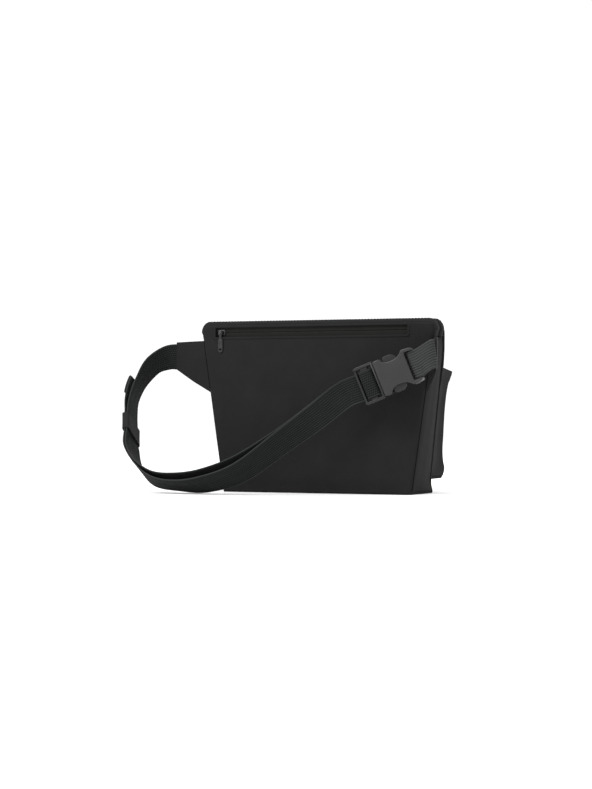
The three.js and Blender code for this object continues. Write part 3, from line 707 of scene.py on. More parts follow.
def add_back_panel():
    x0, x1 = REAR_ZIP_X
    columns = panel_columns([x0 - d for d in LIP_STEPS] + [x1 + d for d in LIP_STEPS])
    low, high = REAR_ZIP_Z - REAR_HALF, REAR_ZIP_Z + REAR_HALF
    rows = spaced(0, BAG_HEIGHT, 4.0, FABRIC, [low - d for d in LIP_STEPS] + [high, high + 0.12, high + 0.4])
    rows = np.array([z for z in rows if not low + 0.1 < z < high - 0.1 or abs(z - REAR_ZIP_Z) < 3])
    s, z = np.meshgrid(columns, rows, indexing="ij")
    x = panel_x(s, z)
    outer = np.stack([x, back_face(x, z), z], -1)
    inner = outer.copy()
    inner[..., 1] = BACK_Y + FABRIC - 0.02 - back_swell(x, z)
    middle_x = (x[:-1, :-1] + x[1:, 1:]) / 2
    middle_z = (z[:-1, :-1] + z[1:, 1:]) / 2
    hole = (middle_x > x0) & (middle_x < x1) & (middle_z > low) & (middle_z < high)
    panel = plate("back_shell", outer, inner, CLOTH, ~hole)
    settle(panel, "bag", ["back_panel"])


FOOT = (2, 5)  # height and reach of the flare where the pouch's walls meet its bottom
FOOT_FLARE = 0.026


def add_front_panel():
    rows = spaced(0, BAG_HEIGHT, 5.0, FABRIC)
    s, z = np.meshgrid(panel_columns(), rows, indexing="ij")
    x = panel_x(s, z)
    u, v, inset = x / half_width(z), z / BAG_HEIGHT, panel_inset(x, z)
    x = x * (1.006 + 0.008 * smooth(95, 122, z) - 0.014 * smooth(148, 157, z) + FOOT_FLARE * hump(z, *FOOT))
    swell = (1.5 * belly(u, v) + 0.5 * ripple(x, 0 * x, z, 58, 11.3)) * smooth(0, 13, inset)
    outer = np.stack([x, front_y(z) + swell - roll(inset, 0.6), z], -1)
    inner = outer.copy()
    inner[..., 1] = front_y(z) - FABRIC + 0.02 + swell
    settle(plate("front_shell", outer, inner, CLOTH), "bag", ["front_panel"])


def inner_front_y(z):
    return front_y(z) - FABRIC - GAP


def add_bottom_gusset():
    columns = spaced(-HALF_BOTTOM, HALF_BOTTOM, 5.0, 1.6)
    shares = np.array([0, 0.01, 0.03, 0.06, 0.12, 0.25, 0.4, 0.5, 0.6, 0.75, 0.88, 0.94, 0.97, 0.99, 1])
    x, t = np.meshgrid(columns, shares, indexing="ij")
    depth = inner_front_y(FABRIC) - INNER_BACK_Y
    y = INNER_BACK_Y + depth * t
    d = np.minimum(np.minimum(t, 1 - t) * depth, HALF_BOTTOM - np.abs(x))
    lift = (0.35 + 0.3 * ripple(x, y, 0 * x, 40, 5.0)) * smooth(0, 9, d) + roll(d, 1.6)
    x = x * (1 + FOOT_FLARE * smooth(0.1, 0.8, t) * smooth(60, HALF_BOTTOM, np.abs(x)))
    outer = np.stack([x, y, lift], -1)
    inner = np.stack([x, y, np.full_like(x, FABRIC)], -1)
    settle(plate("bottom_cloth", outer, inner, GUSSET), "bag", ["bottom_gusset"])


def add_side_gussets():
    low, high = FABRIC + GAP, SPLIT_Z - GAP
    rows = spaced(low, high, 3.5, 1.6)
    shares = np.array([0, 0.008, 0.03, 0.06, 0.1, 0.16, 0.25, 0.37, 0.5,
                       0.63, 0.75, 0.84, 0.9, 0.94, 0.97, 0.992, 1])
    t, z = np.meshgrid(shares, rows, indexing="ij")
    depth = inner_front_y(z) - INNER_BACK_Y
    y = INNER_BACK_Y + depth * t
    d = np.minimum(t * depth, np.minimum(z - low + 1, high - z))
    for name, side, seed in (("left", -1, 21.0), ("right", 1, 27.0)):
        swell = (1.3 * np.sin(np.pi * t) + 0.5 * ripple(y, 0 * y, z, 30, seed)) * smooth(0, 6, d)
        flare = 3.1 * hump(z, *FOOT) * smooth(0.1, 0.8, t)
        groove = -1.3 * hump(t * depth, 0, 1.3)
        crease = -0.7 * hump((t - 0.45) * depth, 0.06 * (z - 70), 3.2) * smooth(8, 30, z)
        x = side * (half_width(z) + swell + flare + crease + groove - roll(d, 0.9))
        outer = np.stack([x, y, z], -1)
        inner = np.stack([side * (half_width(z) - FABRIC + 0 * x), y, z], -1)
        cloth = plate(f"side_cloth_{name}", outer, inner, GUSSET)
        settle(cloth, "bag", [f"side_gusset_{name}"])


def add_seam_shadows():
    """A near-black tube of painted shadow, sunk where the back panel meets each side gusset, standing in for
    the shade in that seam.
    """
    turns = np.linspace(0, 2 * math.pi, 8, endpoint=False)
    radius = 0.6
    for name, side in SIDES:
        rings = [[(side * (half_width(z) - 0.05 + radius * math.cos(a)),
                   INNER_BACK_Y - 0.1 + radius * math.sin(a), z)
                  for a in turns] for z in spaced(FABRIC + 1, SPLIT_Z - 1, 4, 0.5)]
        settle(tube(f"side_seam_shadow_{name}", rings, SEAM_SHADOW_CLOTH), "bag")


def over_top(first, last, step=4.0):
    """Points and outward directions along the pouch's top edge between two distances from its middle.

    Distances run along the edge, and reach the split in the gusset at about 128 mm.
    """
    top, r = BAG_HEIGHT, CORNER
    flat = half_width(top) - r
    arc = r * math.pi / 2
    points, normals = [], []
    for s in np.linspace(first, last, max(int(abs(last - first) / step), 2) + 1):
        side, a = (1, s) if s >= 0 else (-1, -s)
        if a <= flat:
            p, n = (a, top), (0, 1)
        elif a <= flat + arc:
            turn = (a - flat) / r
            p = (flat + r * math.sin(turn), top - r + r * math.cos(turn))
            n = (math.sin(turn), math.cos(turn))
        else:
            z = top - r - (a - flat - arc)
            p, n = (half_width(z), z), (0.99, -0.14)
        points.append((side * p[0], p[1]))
        normals.append((side * n[0], n[1]))
    return np.array(points), np.array(normals)


TOP_RUN = half_width(BAG_HEIGHT) - CORNER + CORNER * math.pi / 2 + (BAG_HEIGHT - CORNER - SPLIT_Z)


def over_top_piece(name, section, first, last, material, seed):
    """A strip over the pouch's top; section is (Y, height above the edge) round it."""
    points, normals = over_top(first, last, 2.0)
    section = np.array(section)
    rings = []
    for p, n in zip(points, normals):
        wobble = 0.1 * noise.noise(Vector((p[0] / 17 + seed, p[1] / 17, 0)))
        high = section[:, 1] + np.where(section[:, 1] > 0.3, wobble, 0)
        wide = np.where(high > 0, high * SIDE_CROWN / TOP_CROWN, high)
        rings.append(np.stack([p[0] + n[0] * wide, section[:, 0], p[1] + n[1] * high], -1))
    return tube(name, rings, material)


def add_zip_gusset():
    padded = [(0, -1.8), (0, 0), (0.15, 1.3), (0.6, 2.3), (1.5, 3.1), (3, 3.65), (4.8, TOP_CROWN),
              (6.3, 3.55), (7.4, 2.9), (8.1, 2.1), (8.4, 1.2), (8.4, -0.4), (8, -1.8), (4, -1.8)]
    back = [(INNER_BACK_Y + y, n) for y, n in padded]
    front_edge = inner_front_y(BAG_HEIGHT)
    front = [(front_edge - y, n) for y, n in padded]
    for name, section, seed in (("zip_band_back", back, 1.0), ("zip_band_front", front, 4.0)):
        band = over_top_piece(name, section, -TOP_RUN, TOP_RUN, GUSSET, seed)
        settle(band, "bag", [name.replace("band", "gusset")])
    low, high = MAIN_ZIP_Y - MAIN_LIP_HALF + GAP, MAIN_ZIP_Y + MAIN_LIP_HALF - GAP
    tab = [(low, -1.5), (low, -0.3), (low + 0.25, 0.05), (low + 0.8, 0.25), (MAIN_ZIP_Y, 0.35),
           (high - 0.8, 0.25), (high - 0.25, 0.05), (high, -0.3), (high, -1.5)]
    for name, side in SIDES:
        start = side * (MAIN_ZIP_HALF_LENGTH + GAP)
        piece = over_top_piece(f"zip_end_{name}", tab, start, side * TOP_RUN, BINDING, 8.0)
        settle(piece, "bag", [f"zip_tab_{name}"])


def add_innards():
    half, low, high = 98, 42, 153.5  # the rear pocket's lining
    columns, rows = spaced(-half, half, 6, 0.4), spaced(low, high, 6, 0.4)
    x, z = np.meshgrid(columns, rows, indexing="ij")
    d = np.minimum(half - np.abs(x), np.minimum(z - low, high - z))
    wave = 0.5 * ripple(x, 0 * x, z, 34, 15.0) * smooth(0, 12, d)
    near = np.stack([x, INNER_BACK_Y + 3.3 + wave + 0.3 * (1 - smooth(0, 0.4, d)), z], -1)
    far = near.copy()
    far[..., 1] += 0.7
    lining = plate("rear_pocket_cloth", near, far, LINING)
    settle(lining, "bag", ["rear_pocket_lining"])

    low, high = 18, 118  # the float foam, 150 wide at its foot and 168 at its top
    rows = spaced(low, high, 6, 1.5)
    rim = [1, 0.998, 0.993, 0.985]
    shares = np.array([-share for share in rim] + list(np.linspace(-0.95, 0.95, 27)) + rim[::-1])
    s, z = np.meshgrid(shares, rows, indexing="ij")
    half = mix(75, 84, (z - low) / (high - low))
    x = s * half
    d = np.minimum((1 - np.abs(s)) * half, np.minimum(z - low, high - z))
    drop = roll(d, 1.5)
    near = np.stack([x, inner_front_y(z) - 5 + drop, z], -1)
    far = np.stack([x, inner_front_y(z) - drop, z], -1)
    slab = plate("float_slab", near, far, FOAM)
    settle(slab, "bag", ["float_foam"])


# ---------- zips ----------
def strip_along_x(name, section, x0, x1, step, material):
    """A strip that runs along X; section is (Y, Z) round it. It carries its weave's coordinates."""
    section = np.array(section, float)
    around = run_along(section)
    places = np.linspace(x0, x1, max(int((x1 - x0) / step), 1) + 1)
    rings = np.array([[(x, y, z) for y, z in section] for x in places])
    weave = np.array([[(x, a) for a in around] for x in places]).reshape(-1, 2)
    return tube(name, rings, material, weave)


def coil_turns(name, axis, reach, x0, x1):
    """A zip's nylon coil: a flattened helix about a line along X. axis is (Y, Z), reach its half sizes."""
    pitch, wire, per_turn, sides = 1.35, 0.26, 12, 6
    count = int((x1 - x0) / pitch) * per_turn
    k = np.arange(count + 1)
    a = 2 * np.pi * k / per_turn
    line = np.stack([x0 + pitch * k / per_turn, axis[0] + reach[0] * np.cos(a),
                     axis[1] + reach[1] * np.sin(a)], -1)
    along = unit(np.gradient(line, axis=0))
    side = unit(np.cross(along, [1.0, 0, 0]))
    other = np.cross(along, side)
    turns = np.linspace(0, 2 * np.pi, sides, endpoint=False)
    rings = [[p + wire * (s * math.cos(q) + o * math.sin(q)) for q in turns]
             for p, s, o in zip(line, side, other)]
    return tube(name, rings, COIL)


# Sections of the zip tapes. The rear's points are a depth below the cloth and a distance from the zip's middle
# line, the main one's that distance and a height.
REAR_TAPE = [(0.35, 0.12), (0.05, 0.3), (-0.1, 0.8), (-0.14, 1.3), (-0.04, 1.9), (0.02, 2.2), (0, 3.2),
             (-0.05, 3.8), (0, 4.6), (0.7, 4.6), (0.7, 0.5)]
MAIN_TAPE = [(0.3, 0), (5.5, 0), (5.5, 0.6), (3.2, 0.66), (2.4, 0.75), (0.3, 0.7)]


def add_rear_zip():
    x0, x1 = REAR_ZIP_X[0] - 2, REAR_ZIP_X[1] + 2
    y = INNER_BACK_Y
    for name, side in (("upper", 1), ("lower", -1)):
        z = lambda d: REAR_ZIP_Z + side * d
        tape = [(y + deep, z(away)) for deep, away in REAR_TAPE]
        strip = strip_along_x(f"rear_zip_cloth_{name}", tape, x0, x1, 3, TAPE_CLOTH)
        settle(strip, "bag", [f"rear_zip_tape_{name}"])
        coil = coil_turns(f"rear_zip_coil_{name}", (y + 1.36, z(1.15)), (0.75, 0.4), x0 + 1, x1 - 1)
        settle(coil, "bag")


def add_main_zip():
    half = MAIN_ZIP_HALF_LENGTH
    for name, side in (("front", 1), ("back", -1)):
        y = lambda d: MAIN_ZIP_Y + side * d
        z = MAIN_TAPE_Z
        tape = [(y(away), z + high) for away, high in MAIN_TAPE]
        strip = strip_along_x(f"main_zip_cloth_{name}", tape, -half, half, 4, TAPE_CLOTH)
        settle(strip, "bag", [f"main_zip_tape_{name}"])
        coil = coil_turns(f"main_zip_coil_{name}", (y(1.12), z + 1.3), (0.85, 0.38), -half + 1, half - 1)
        settle(coil, "bag")


def both_sides(half):
    """A closed outline from the half of it on one side of the line z = 0."""
    return half + [(x, -z) for x, z in reversed(half)]


SLIDER_OUTLINE = both_sides([(-4, -1.5), (-3.7, -2.1), (-3, -2.4), (-1, -2.5), (1.2, -2.5), (3, -2.2),
                             (3.8, -1.6), (4, -0.8)])


def oval(x, z, rx, rz, count=24, start=0.0, turn=2 * math.pi):
    angles = [start + turn * k / count for k in range(count)]
    return [(x + rx * math.cos(a), z + rz * math.sin(a)) for a in angles]


def moved(obj, matrix):
    obj.data.transform(matrix)
    return obj


def slider_parts(prefix, over, under):
    """The slider's two shields and its neck, standing up: out of the cloth is -Y."""
    parts = [
        outline_solid(prefix + "_top", SLIDER_OUTLINE, -over - 1.15, -over, 0.35, METAL),
        outline_solid(prefix + "_base", SLIDER_OUTLINE, under, under + 0.8, 0.25, METAL),
        rounded_box(prefix + "_neck", (-1.2, 3.6), (-over - 0.6, under + 0.4), (-0.2, 0.2), 0.08, METAL, 1),
    ]
    for z in (-2.25, 2.25):  # side flanges turned over the coil
        deep, across = (-over - 0.5, -over + 0.28), (z - 0.22, z + 0.22)
        parts.append(rounded_box(prefix + "_flange", (-3, 3), deep, across, 0.1, METAL, 2))
    return parts


def bent_bar(name, points, wide, thick, material):
    """A flat bar bent in the X-Y plane, wide along Z."""
    points = np.array(points, float)
    along = unit(np.gradient(points, axis=0))
    side = np.stack([-along[:, 1], along[:, 0]], -1)
    section = both_sides([(0.5, 0.3), (0.3, 0.5), (-0.3, 0.5), (-0.5, 0.3)])
    rings = [[(p[0] + s[0] * a * thick, p[1] + s[1] * a * thick, b * wide) for a, b in section]
             for p, s in zip(points, side)]
    return tube(name, rings, material)


def pull_tab(name, y0, y1):
    """A zip pull that hangs down -Z from its eye at the origin."""
    neck = [(1.9, -1.4), (1.15, -2.6), (1.0, -4.6), (1.25, -5.6), (2.1, -6.6), (2.3, -7.4)]
    edge = oval(0, 0, 2.1, 2.1, 12, 0, math.pi) + [(-2.1, 0)] + [(-x, z) for x, z in neck]
    edge += oval(0, -16.6, 2.35, 2.4, 14, math.pi, math.pi) + [(2.35, -16.6)] + neck[::-1]
    holes = [oval(0, 0, 1.1, 1.1, 16), oval(0, -16.3, 1.15, 1.15, 16)]
    tab = outline_solid(name + "_tab", edge, y0, y1, 0.22, METAL, holes)
    frame_edge = [(-1.45, -8.2), (1.45, -8.2), (1.45, -13.6), (-1.45, -13.6)]
    window = [(-0.95, -8.7), (0.95, -8.7), (0.95, -13.1), (-0.95, -13.1)]
    rim = outline_solid(name + "_rim", frame_edge, y0 - 0.18, y0 + 0.3, 0.1, METAL, [window], 2)
    return joined(name, [tab, rim])


SLIDER_UNDER = 2.2  # how deep the lower shield lies under the cloth


def add_rear_slider():
    x = REAR_ZIP_X[0] + 5.5
    profile = [(0.01, 0), (0.75, 0), (0.8, 0.1), (0.8, 4.3), (1.35, 4.35), (1.5, 4.5), (1.5, 4.9), (1.3, 5.1),
               (0.01, 5.15)]
    post = lathe("post", profile, (0, 0, 0), METAL, 24)
    moved(post, Matrix.Rotation(math.pi / 2, 4, "X") @ Matrix.Translation((0, 0, 0.25 * MM)))
    body = joined("rear_slider_body", slider_parts("rear_slider", GAP, SLIDER_UNDER) + [post])
    moved(body, Matrix.Translation(Vector((x, INNER_BACK_Y, REAR_ZIP_Z)) * MM))
    settle(body, "rear_slider", ["rear_zip_slider"])
    tab = pull_tab("rear_pull_tab", INNER_BACK_Y - 4.4, INNER_BACK_Y - 3.4)
    moved(tab, Matrix.Translation(Vector((x, 0, REAR_ZIP_Z)) * MM))
    settle(tab, "rear_pull", ["rear_zip_pull"])


def add_main_slider():
    x, top = -MAIN_ZIP_HALF_LENGTH + 8, MAIN_TAPE_Z + 1.9
    arch = bent_bar("arch", [(-2.7, -0.9), (-2.65, -2.4), (-2.3, -3.2), (-1.6, -3.6), (0, -3.7), (1.6, -3.6),
                              (2.3, -3.2), (2.65, -2.4), (2.7, -0.9)], 1.4, 0.55, METAL)
    body = joined("main_slider_body", slider_parts("main_slider", GAP, SLIDER_UNDER) + [arch])
    flat = Matrix.Rotation(-math.pi / 2, 4, "X")  # out of the cloth turns from -Y to +Z
    moved(body, Matrix.Translation(Vector((x, MAIN_ZIP_Y, top)) * MM) @ flat)
    settle(body, "main_slider", ["main_zip_slider"])
    edge = [(-0.5, -1.8), (-0.2, -2.1), (8, -2.1)] + oval(16.6, 0, 2.4, 2.4, 14, -math.pi / 2, math.pi)
    edge += [(16.6, 2.4), (8, 2.1), (-0.2, 2.1), (-0.5, 1.8)]
    hole = [(0.5, -1.1), (6.5, -1.1), (6.5, 1.1), (0.5, 1.1)]
    tab = outline_solid("main_pull_tab", edge, -0.45, 0.45, 0.2, METAL, [hole, oval(16.4, 0, 1.1, 1.1, 16)])
    moved(tab, Matrix.Translation(Vector((x, MAIN_ZIP_Y, top + 2.3)) * MM) @ flat)
    settle(tab, "main_pull", ["main_zip_pull"])


# ---------- rope pocket ----------
def pocket_profile(z):
    """The pocket's outer face above the profile's points, on a smooth curve through them."""
    heights = np.array([p[0] for p in POCKET_PROFILE], float)
    values = np.array([p[1] for p in POCKET_PROFILE], float)
    slopes = np.gradient(values, heights)
    z = np.clip(z, heights[0], heights[-1])
    i = np.clip(np.searchsorted(heights, z, "right") - 1, 0, len(heights) - 2)
    span = heights[i + 1] - heights[i]
    t = (z - heights[i]) / span
    a, b = 2 * t**3 - 3 * t**2 + 1, t**3 - 2 * t**2 + t
    return a * values[i] + b * span * slopes[i] + (1 - a) * values[i + 1] + (t**3 - t**2) * span * slopes[i + 1]


def pocket_face(x, z):
    """The pocket's outer face with the sag of cloth that holds nothing."""
    u = np.clip(np.abs(x) / half_width(z), 0, 1)
    v = np.clip((z - POCKET_BOTTOM) / (POCKET_TOP - POCKET_BOTTOM), 0, 1)
    inward = smooth(0, 0.16, 1 - u)
    sag = 2.4 * np.sin(np.pi * np.minimum(v * 1.1, 1)) * (1 - u * u) + 2.2 * smooth(0.7, 1, v) * (1 - u * u)
    uneven = 1.1 * ripple(x, 0 * x, z, 48, 31.0) + 0.3 * ripple(x, 0 * x, z, 17, 33.0)
    return pocket_profile(z) + (sag + uneven * smooth(0, 0.1, v)) * inward


SIDE_HEM_RISE = 3.2  # how far the pocket's sides stand above its mouth
SIDE_HEM, SIDE_HEM_THICK = 10.0, 1.1  # the rolled hem's depth, and how much it adds to the cloth
SIDE_TUCK = 0.4  # how far the sides run into the front cloth, so that no gap shows
POCKET_HEM_STITCHES = (104, 108)


def add_pocket():
    heights = spaced(POCKET_BOTTOM, POCKET_TOP, 2.6, 0.8)
    shares = np.array([1 - d / 100 for d in ends(1.6)] + [0.96, 0.93] + list(np.linspace(0.9, 0, 19)))
    shares = np.array(sorted(set(np.round(np.concatenate([shares, -shares]), 6))))
    s, z = np.meshgrid(shares, heights, indexing="ij")
    x = s * half_width(z)
    d = (1 - np.abs(s)) * half_width(z)
    face = pocket_face(x, z)
    outer = np.stack([x, face - roll(d, 1.6), z], -1)
    inner = np.stack([x, face - POCKET_FABRIC, z], -1)
    settle(plate("pocket_cloth", outer, inner, CLOTH), "bag", ["pocket_panel"])

    low, mouth = POCKET_BOTTOM + POCKET_FABRIC + GAP, POCKET_TOP + SIDE_HEM_RISE
    rows = spaced(low, mouth, 3, 0.6)
    steps = np.array([0, 0.02, 0.06, 0.12, 0.22, 0.36, 0.5, 0.64, 0.78, 0.88, 0.94, 0.98, 1])
    t, z = np.meshgrid(steps, rows, indexing="ij")
    thick = SIDE_HEM_THICK * smooth(mouth - SIDE_HEM - 2.5, mouth - SIDE_HEM, z)
    below = mouth - z
    z = z + (2.6 - 3.4 * t) * smooth(mouth - SIDE_HEM, mouth, z)  # the mouth drops from the pouch outwards
    near, far = front_y(z) + GAP, pocket_profile(z) - POCKET_FABRIC + SIDE_TUCK
    y = near + (far - near) * t
    d = np.minimum((1 - t) * (far - near), np.minimum(z - low, below))
    for name, side, seed in (("left", -1, 41.0), ("right", 1, 47.0)):
        fold = (-0.9 * np.sin(np.pi * t) + 0.5 * ripple(y, 0 * y, z, 22, seed)) * smooth(0, 4, d)
        flare = 0.9 * hump(z, low, 4) * t
        outer = np.stack([side * (half_width(z) + fold + flare + thick - roll(d, 1.6)), y, z], -1)
        inner = np.stack([side * (half_width(z) - POCKET_FABRIC + fold), y, z - 0.3 * roll(d, 1.6)], -1)
        cloth = plate(f"pocket_cloth_{name}", outer, inner, GUSSET)
        settle(cloth, "bag", [f"pocket_side_{name}"])
        for line, height in enumerate(POCKET_HEM_STITCHES):
            points = outer[2:-2, int(np.argmin(np.abs(rows - height)))]
            sewn_line(f"pocket_hem_stitch_{name}_{line}", points, (side, 0, 0))


def add_pocket_floor():
    w = half_width(POCKET_BOTTOM)
    near, far = front_y(POCKET_BOTTOM) + GAP, pocket_profile(POCKET_BOTTOM) - POCKET_FABRIC - GAP
    columns, rows = spaced(-w, w, 5, 0.8), spaced(near, far, 3, 0.8)
    x, y = np.meshgrid(columns, rows, indexing="ij")
    d = np.minimum(w - np.abs(x), np.minimum(y - near, far - y))
    flat = 1 - np.exp(-((np.minimum(np.abs(x - EYELET_X[0]), np.abs(x - EYELET_X[1])) / 14) ** 4))
    wave = 0.25 * ripple(x, y, 0 * x, 26, 51.0) * smooth(0, 5, d) * flat
    under = np.stack([x, y, POCKET_BOTTOM + roll(d, 0.8) + wave], -1)
    over = np.stack([x, y, POCKET_BOTTOM + POCKET_FABRIC + wave], -1)
    floor = plate("pocket_floor_cloth", under, over, GUSSET)
    for place in EYELET_X:
        cylinder = [(0.01, -4), (4, -4), (4, 6), (0.01, 6)]
        boolean(floor, lathe("punch", cylinder, (place, EYELET_Y, POCKET_BOTTOM), GUSSET, 32))
    finish_mesh(floor.data)
    settle(floor, "bag", ["pocket_floor"])
    low, high = -GAP, POCKET_FABRIC + GAP
    lip = [(2.6, 0.25), (2.75, 0.42), (3.1, 0.5), (4.9, 0.5), (5.35, 0.38), (5.5, 0.1), (5.4, 0), (3.7, 0),
           (3.55, -0.15)]
    rim = [(r, low - out) for r, out in lip] + [(r, high + out) for r, out in reversed(lip)]
    for k, place in enumerate(EYELET_X, 1):
        ring = lathe(f"eyelet_ring_{k}", rim, (place, EYELET_Y, POCKET_BOTTOM), EYELET, 40)
        settle(ring, "bag", [f"drain_eyelet_{k}"])


def add_pocket_hem():
    """Binding folded over the pocket's mouth."""
    z0 = POCKET_TOP + GAP
    w = half_width(POCKET_TOP)
    places = spaced(-w, w, 4, 0.9)
    section = [(0.5, 0.05), (0.6, 0.5), (0.62, 1.2), (0.55, 2.0), (0.3, 2.7), (-0.3, 3.15), (-1.0, 3.3),
               (-1.7, 3.15), (-2.3, 2.7), (-2.55, 2.0), (-2.62, 1.2), (-2.6, 0.5), (-2.5, 0.05), (-1, 0)]
    rings, weave = [], []
    for x in places:
        tuck = min(1.0, 0.55 + 0.45 * math.sqrt(min(max(w - abs(x), 0) / 0.9, 1)))
        y = float(pocket_face(np.array([x]), np.array([float(POCKET_TOP)]))[0])
        dip = 1 + 0.06 * noise.noise(Vector((x / 9, 4.4, 0)))
        rings.append([(x, y - 1 + (a + 1) * tuck, z0 + 0.8 * b * tuck * dip) for a, b in section])
        weave += [(x, k) for k in range(len(section))]
    hem = tube("pocket_binding", rings, BINDING, np.array(weave, float))
    settle(hem, "bag", ["pocket_hem"])


# ---------- wings ----------
# Stations from the side seam to the belt: middle of the fabric, lower and upper edge, direction across it.
WINGS = {
    "left": [((0.4, -27.8), 94.4, 145.6, (0.06, 1)), ((-127, -26.6), 104.6, 144.9, (0.14, 1)),
             ((-147.4, -22.4), 116.6, 143.9, (0.14, 1))],
    "right": [((2.2, -27.8), 95, 144.5, (1, 0.25)), ((121.3, -34), 112, 144.5, (1, 0.4)),
              ((124.5, -42), 115.5, 144.5, (1, 0.3)), ((126.5, -50.5), 117, 144, (1, 0.25))],
}
WING_HALF = 1.5
WING_STEP = 21.0  # millimetres for one station, as at the end of the left wing
WING_STITCH_IN = 2.6


def between(a, b, c, d, t):
    """The point between b and c on a uniform Catmull-Rom curve."""
    return 0.5 * (2 * b + (c - a) * t + (2 * a - 5 * b + 4 * c - d) * t * t + (3 * b - a - 3 * c + d) * t**3)


def along_rows(rows, u):
    """rows sampled at u, counted in rows; the curve runs straight on at both ends."""
    rows = np.asarray(rows, float)
    last = len(rows) - 1
    full = np.concatenate([[2 * rows[0] - rows[1]], rows, [2 * rows[last] - rows[last - 1]]])
    i = int(min(max(math.floor(u), 0), last - 1))
    return between(full[i], full[i + 1], full[i + 2], full[i + 3], u - i)


def straight_rows(rows, u):
    """rows sampled at u, counted in rows, on straight lines between them."""
    i = int(min(max(math.floor(u), 0), len(rows) - 2))
    return mix(rows[i], rows[i + 1], u - i)


def add_wings():
    for name, stations in WINGS.items():
        shares = spaced(0, 1, 0.06, 0.035)
        levels = []
        for k, (at, low, high, across) in enumerate(stations):
            z = mix(low, high, shares)
            x = at[0] + dict(SIDES)[name] * half_width(z) if k == 0 else np.full_like(z, at[0])
            levels.append(np.stack([x, np.full_like(z, at[1]), z, np.full_like(z, across[0]),
                                    np.full_like(z, across[1])], -1))
        last = len(stations) - 1
        steps = spaced(0, last, last / 16, 0.03)
        sample = straight_rows if name == "left" else along_rows
        grid = np.array([sample(np.array(levels), u) for u in steps])
        middle, across = grid[..., :3], grid[..., 3:]
        across = unit(across)
        normal = np.concatenate([across, np.zeros_like(across[..., :1])], -1)
        reach = np.linalg.norm(middle[:, -1] - middle[:, 0], axis=-1)[:, None]
        d = np.minimum(shares, 1 - shares)[None, :] * reach
        end = (last - steps)[:, None] * 30
        half = WING_HALF - 0.93 * roll(np.minimum(d, end + 0.6), 1.4)
        half = half + 0.22 * ripple(middle[..., 0], middle[..., 1], middle[..., 2], 14, 61.0) * smooth(2, 7, d)
        inside = smooth(0, 0.4, steps)[:, None] * smooth(0, 0.4, last - steps)[:, None]
        bend = 0.5 * ripple(middle[..., 0], middle[..., 1], middle[..., 2], 26, 67.0) * inside
        middle = middle + normal * bend[..., None]
        outer, inner = middle - normal * half[..., None], middle + normal * half[..., None]
        # Painted light: the right wing is the same shell cloth, but takes the lighter gusset cloth to lift the
        # shade the buckle throws on it.
        wing = plate(f"wing_cloth_{name}", outer, inner, CLOTH if name == "left" else GUSSET)
        settle(wing, "bag", [f"wing_{name}"])
        for where in ("low", "high"):
            line, facing = [], []
            for i in range(3, len(steps) - 3):
                run = np.linalg.norm(outer[i] - outer[i, 0], axis=-1)
                at = WING_STITCH_IN if where == "low" else run[-1] - WING_STITCH_IN
                line.append([np.interp(at, run, outer[i, :, c]) for c in range(3)])
                facing.append(-normal[i, 0])
            sewn_line(f"wing_{name}_stitch_{where}_0", line, facing)
        for k, back in enumerate((2.4, 4.4)):
            i = int(np.argmin(np.abs(steps - (last - back / WING_STEP))))
            sewn_line(f"wing_{name}_bar_{k}", outer[i, 6:-6], -normal[i, 0], "bag", 1.6, 0.5)


# ---------- webbing ----------
BELT_ROUTE = [
    # middle of the webbing, direction from its lower to its upper edge, gap to the outer layer
    ((-144.4, -21.6, 129), (0, -0.08, 1), 2.2), ((-156, -24.4, 128.2), (-0.1, -0.45, 0.9), 2.2),
    ((-168, -32, 121), (-0.3, -0.95, 0.35), 2.2), ((-177, -40, 105), (-0.08, -1, 0), 5.4),
    ((-181, -46.8, 89), (0.08, -1, 0), 4.4), ((-181, -51, 74), (0.1, -1, 0), 2.4),
    ((-177.8, -57.2, 59), (0.1, -1, 0), 2.2), ((-173.8, -64.6, 43), (0.04, -1, 0), 2.1),
    ((-163.6, -70.6, 26.4), (0.2, -0.95, 0.28), 1.8), ((-144.4, -77, 15.4), (0.22, -0.9, 0.48), 4.2),
    ((-117, -82, 14), (0, -0.9, 0.45), 7.2), ((-87, -84, 16.2), (-0.15, -0.8, 0.58), 8.8),
    ((-51, -83, 28), (-0.28, -0.74, 0.65), 10), ((-12.5, -77, 50.5), (-0.4, -0.65, 0.7), 3.2),
    ((17.5, -69.5, 72), (-0.42, -0.4, 0.82), 2.2),
]
LOAD_Y, TAIL_Y = 5.1, 2.9
MALE_END_X, MALE_FACE_X = -29.0, -9.6
KEEPER_AT, KEEPER_LENGTH = 6.0, 16.0  # shorter than the CAD part's 22, and sheared as in the photo
KEEPER_ELASTIC, KEEPER_ASKEW = 0.7, 0.36  # thickness, and how far it is sheared per millimetre across
KEEPER_HEM = 2.6
TAIL_END = 3.15
TAIL_FOLD = 0.8  # how far the tail's end is folded back, in route points
TAIL_LIFT = 1.75  # from the outer layer's middle to its folded end's

BUCKLE_X = np.array([math.cos(BUCKLE_RISE) * math.cos(BUCKLE_HEADING),
                     math.cos(BUCKLE_RISE) * math.sin(BUCKLE_HEADING), math.sin(BUCKLE_RISE)])
BUCKLE_Y = np.array([-math.sin(BUCKLE_HEADING), math.cos(BUCKLE_HEADING), 0.0])
BUCKLE_Z = np.cross(BUCKLE_X, BUCKLE_Y)
BUCKLE_FRAME = Matrix([[*map(float, row), c * MM] for row, c in
                       zip(np.stack([BUCKLE_X, BUCKLE_Y, BUCKLE_Z], 1), BUCKLE_CENTRE)] + [[0, 0, 0, 1]])


def from_buckle(x, y, z=0.0):
    return BUCKLE_CENTRE + BUCKLE_X * x + BUCKLE_Y * y + BUCKLE_Z * z


def belt_rows():
    rows = [[*at, *edge, slack] for at, edge, slack in BELT_ROUTE]
    for x in (MALE_END_X - 18, MALE_END_X + 1.6):
        rows.append([*from_buckle(x, LOAD_Y), *BUCKLE_Z, LOAD_Y - TAIL_Y])
    return np.array(rows, float)


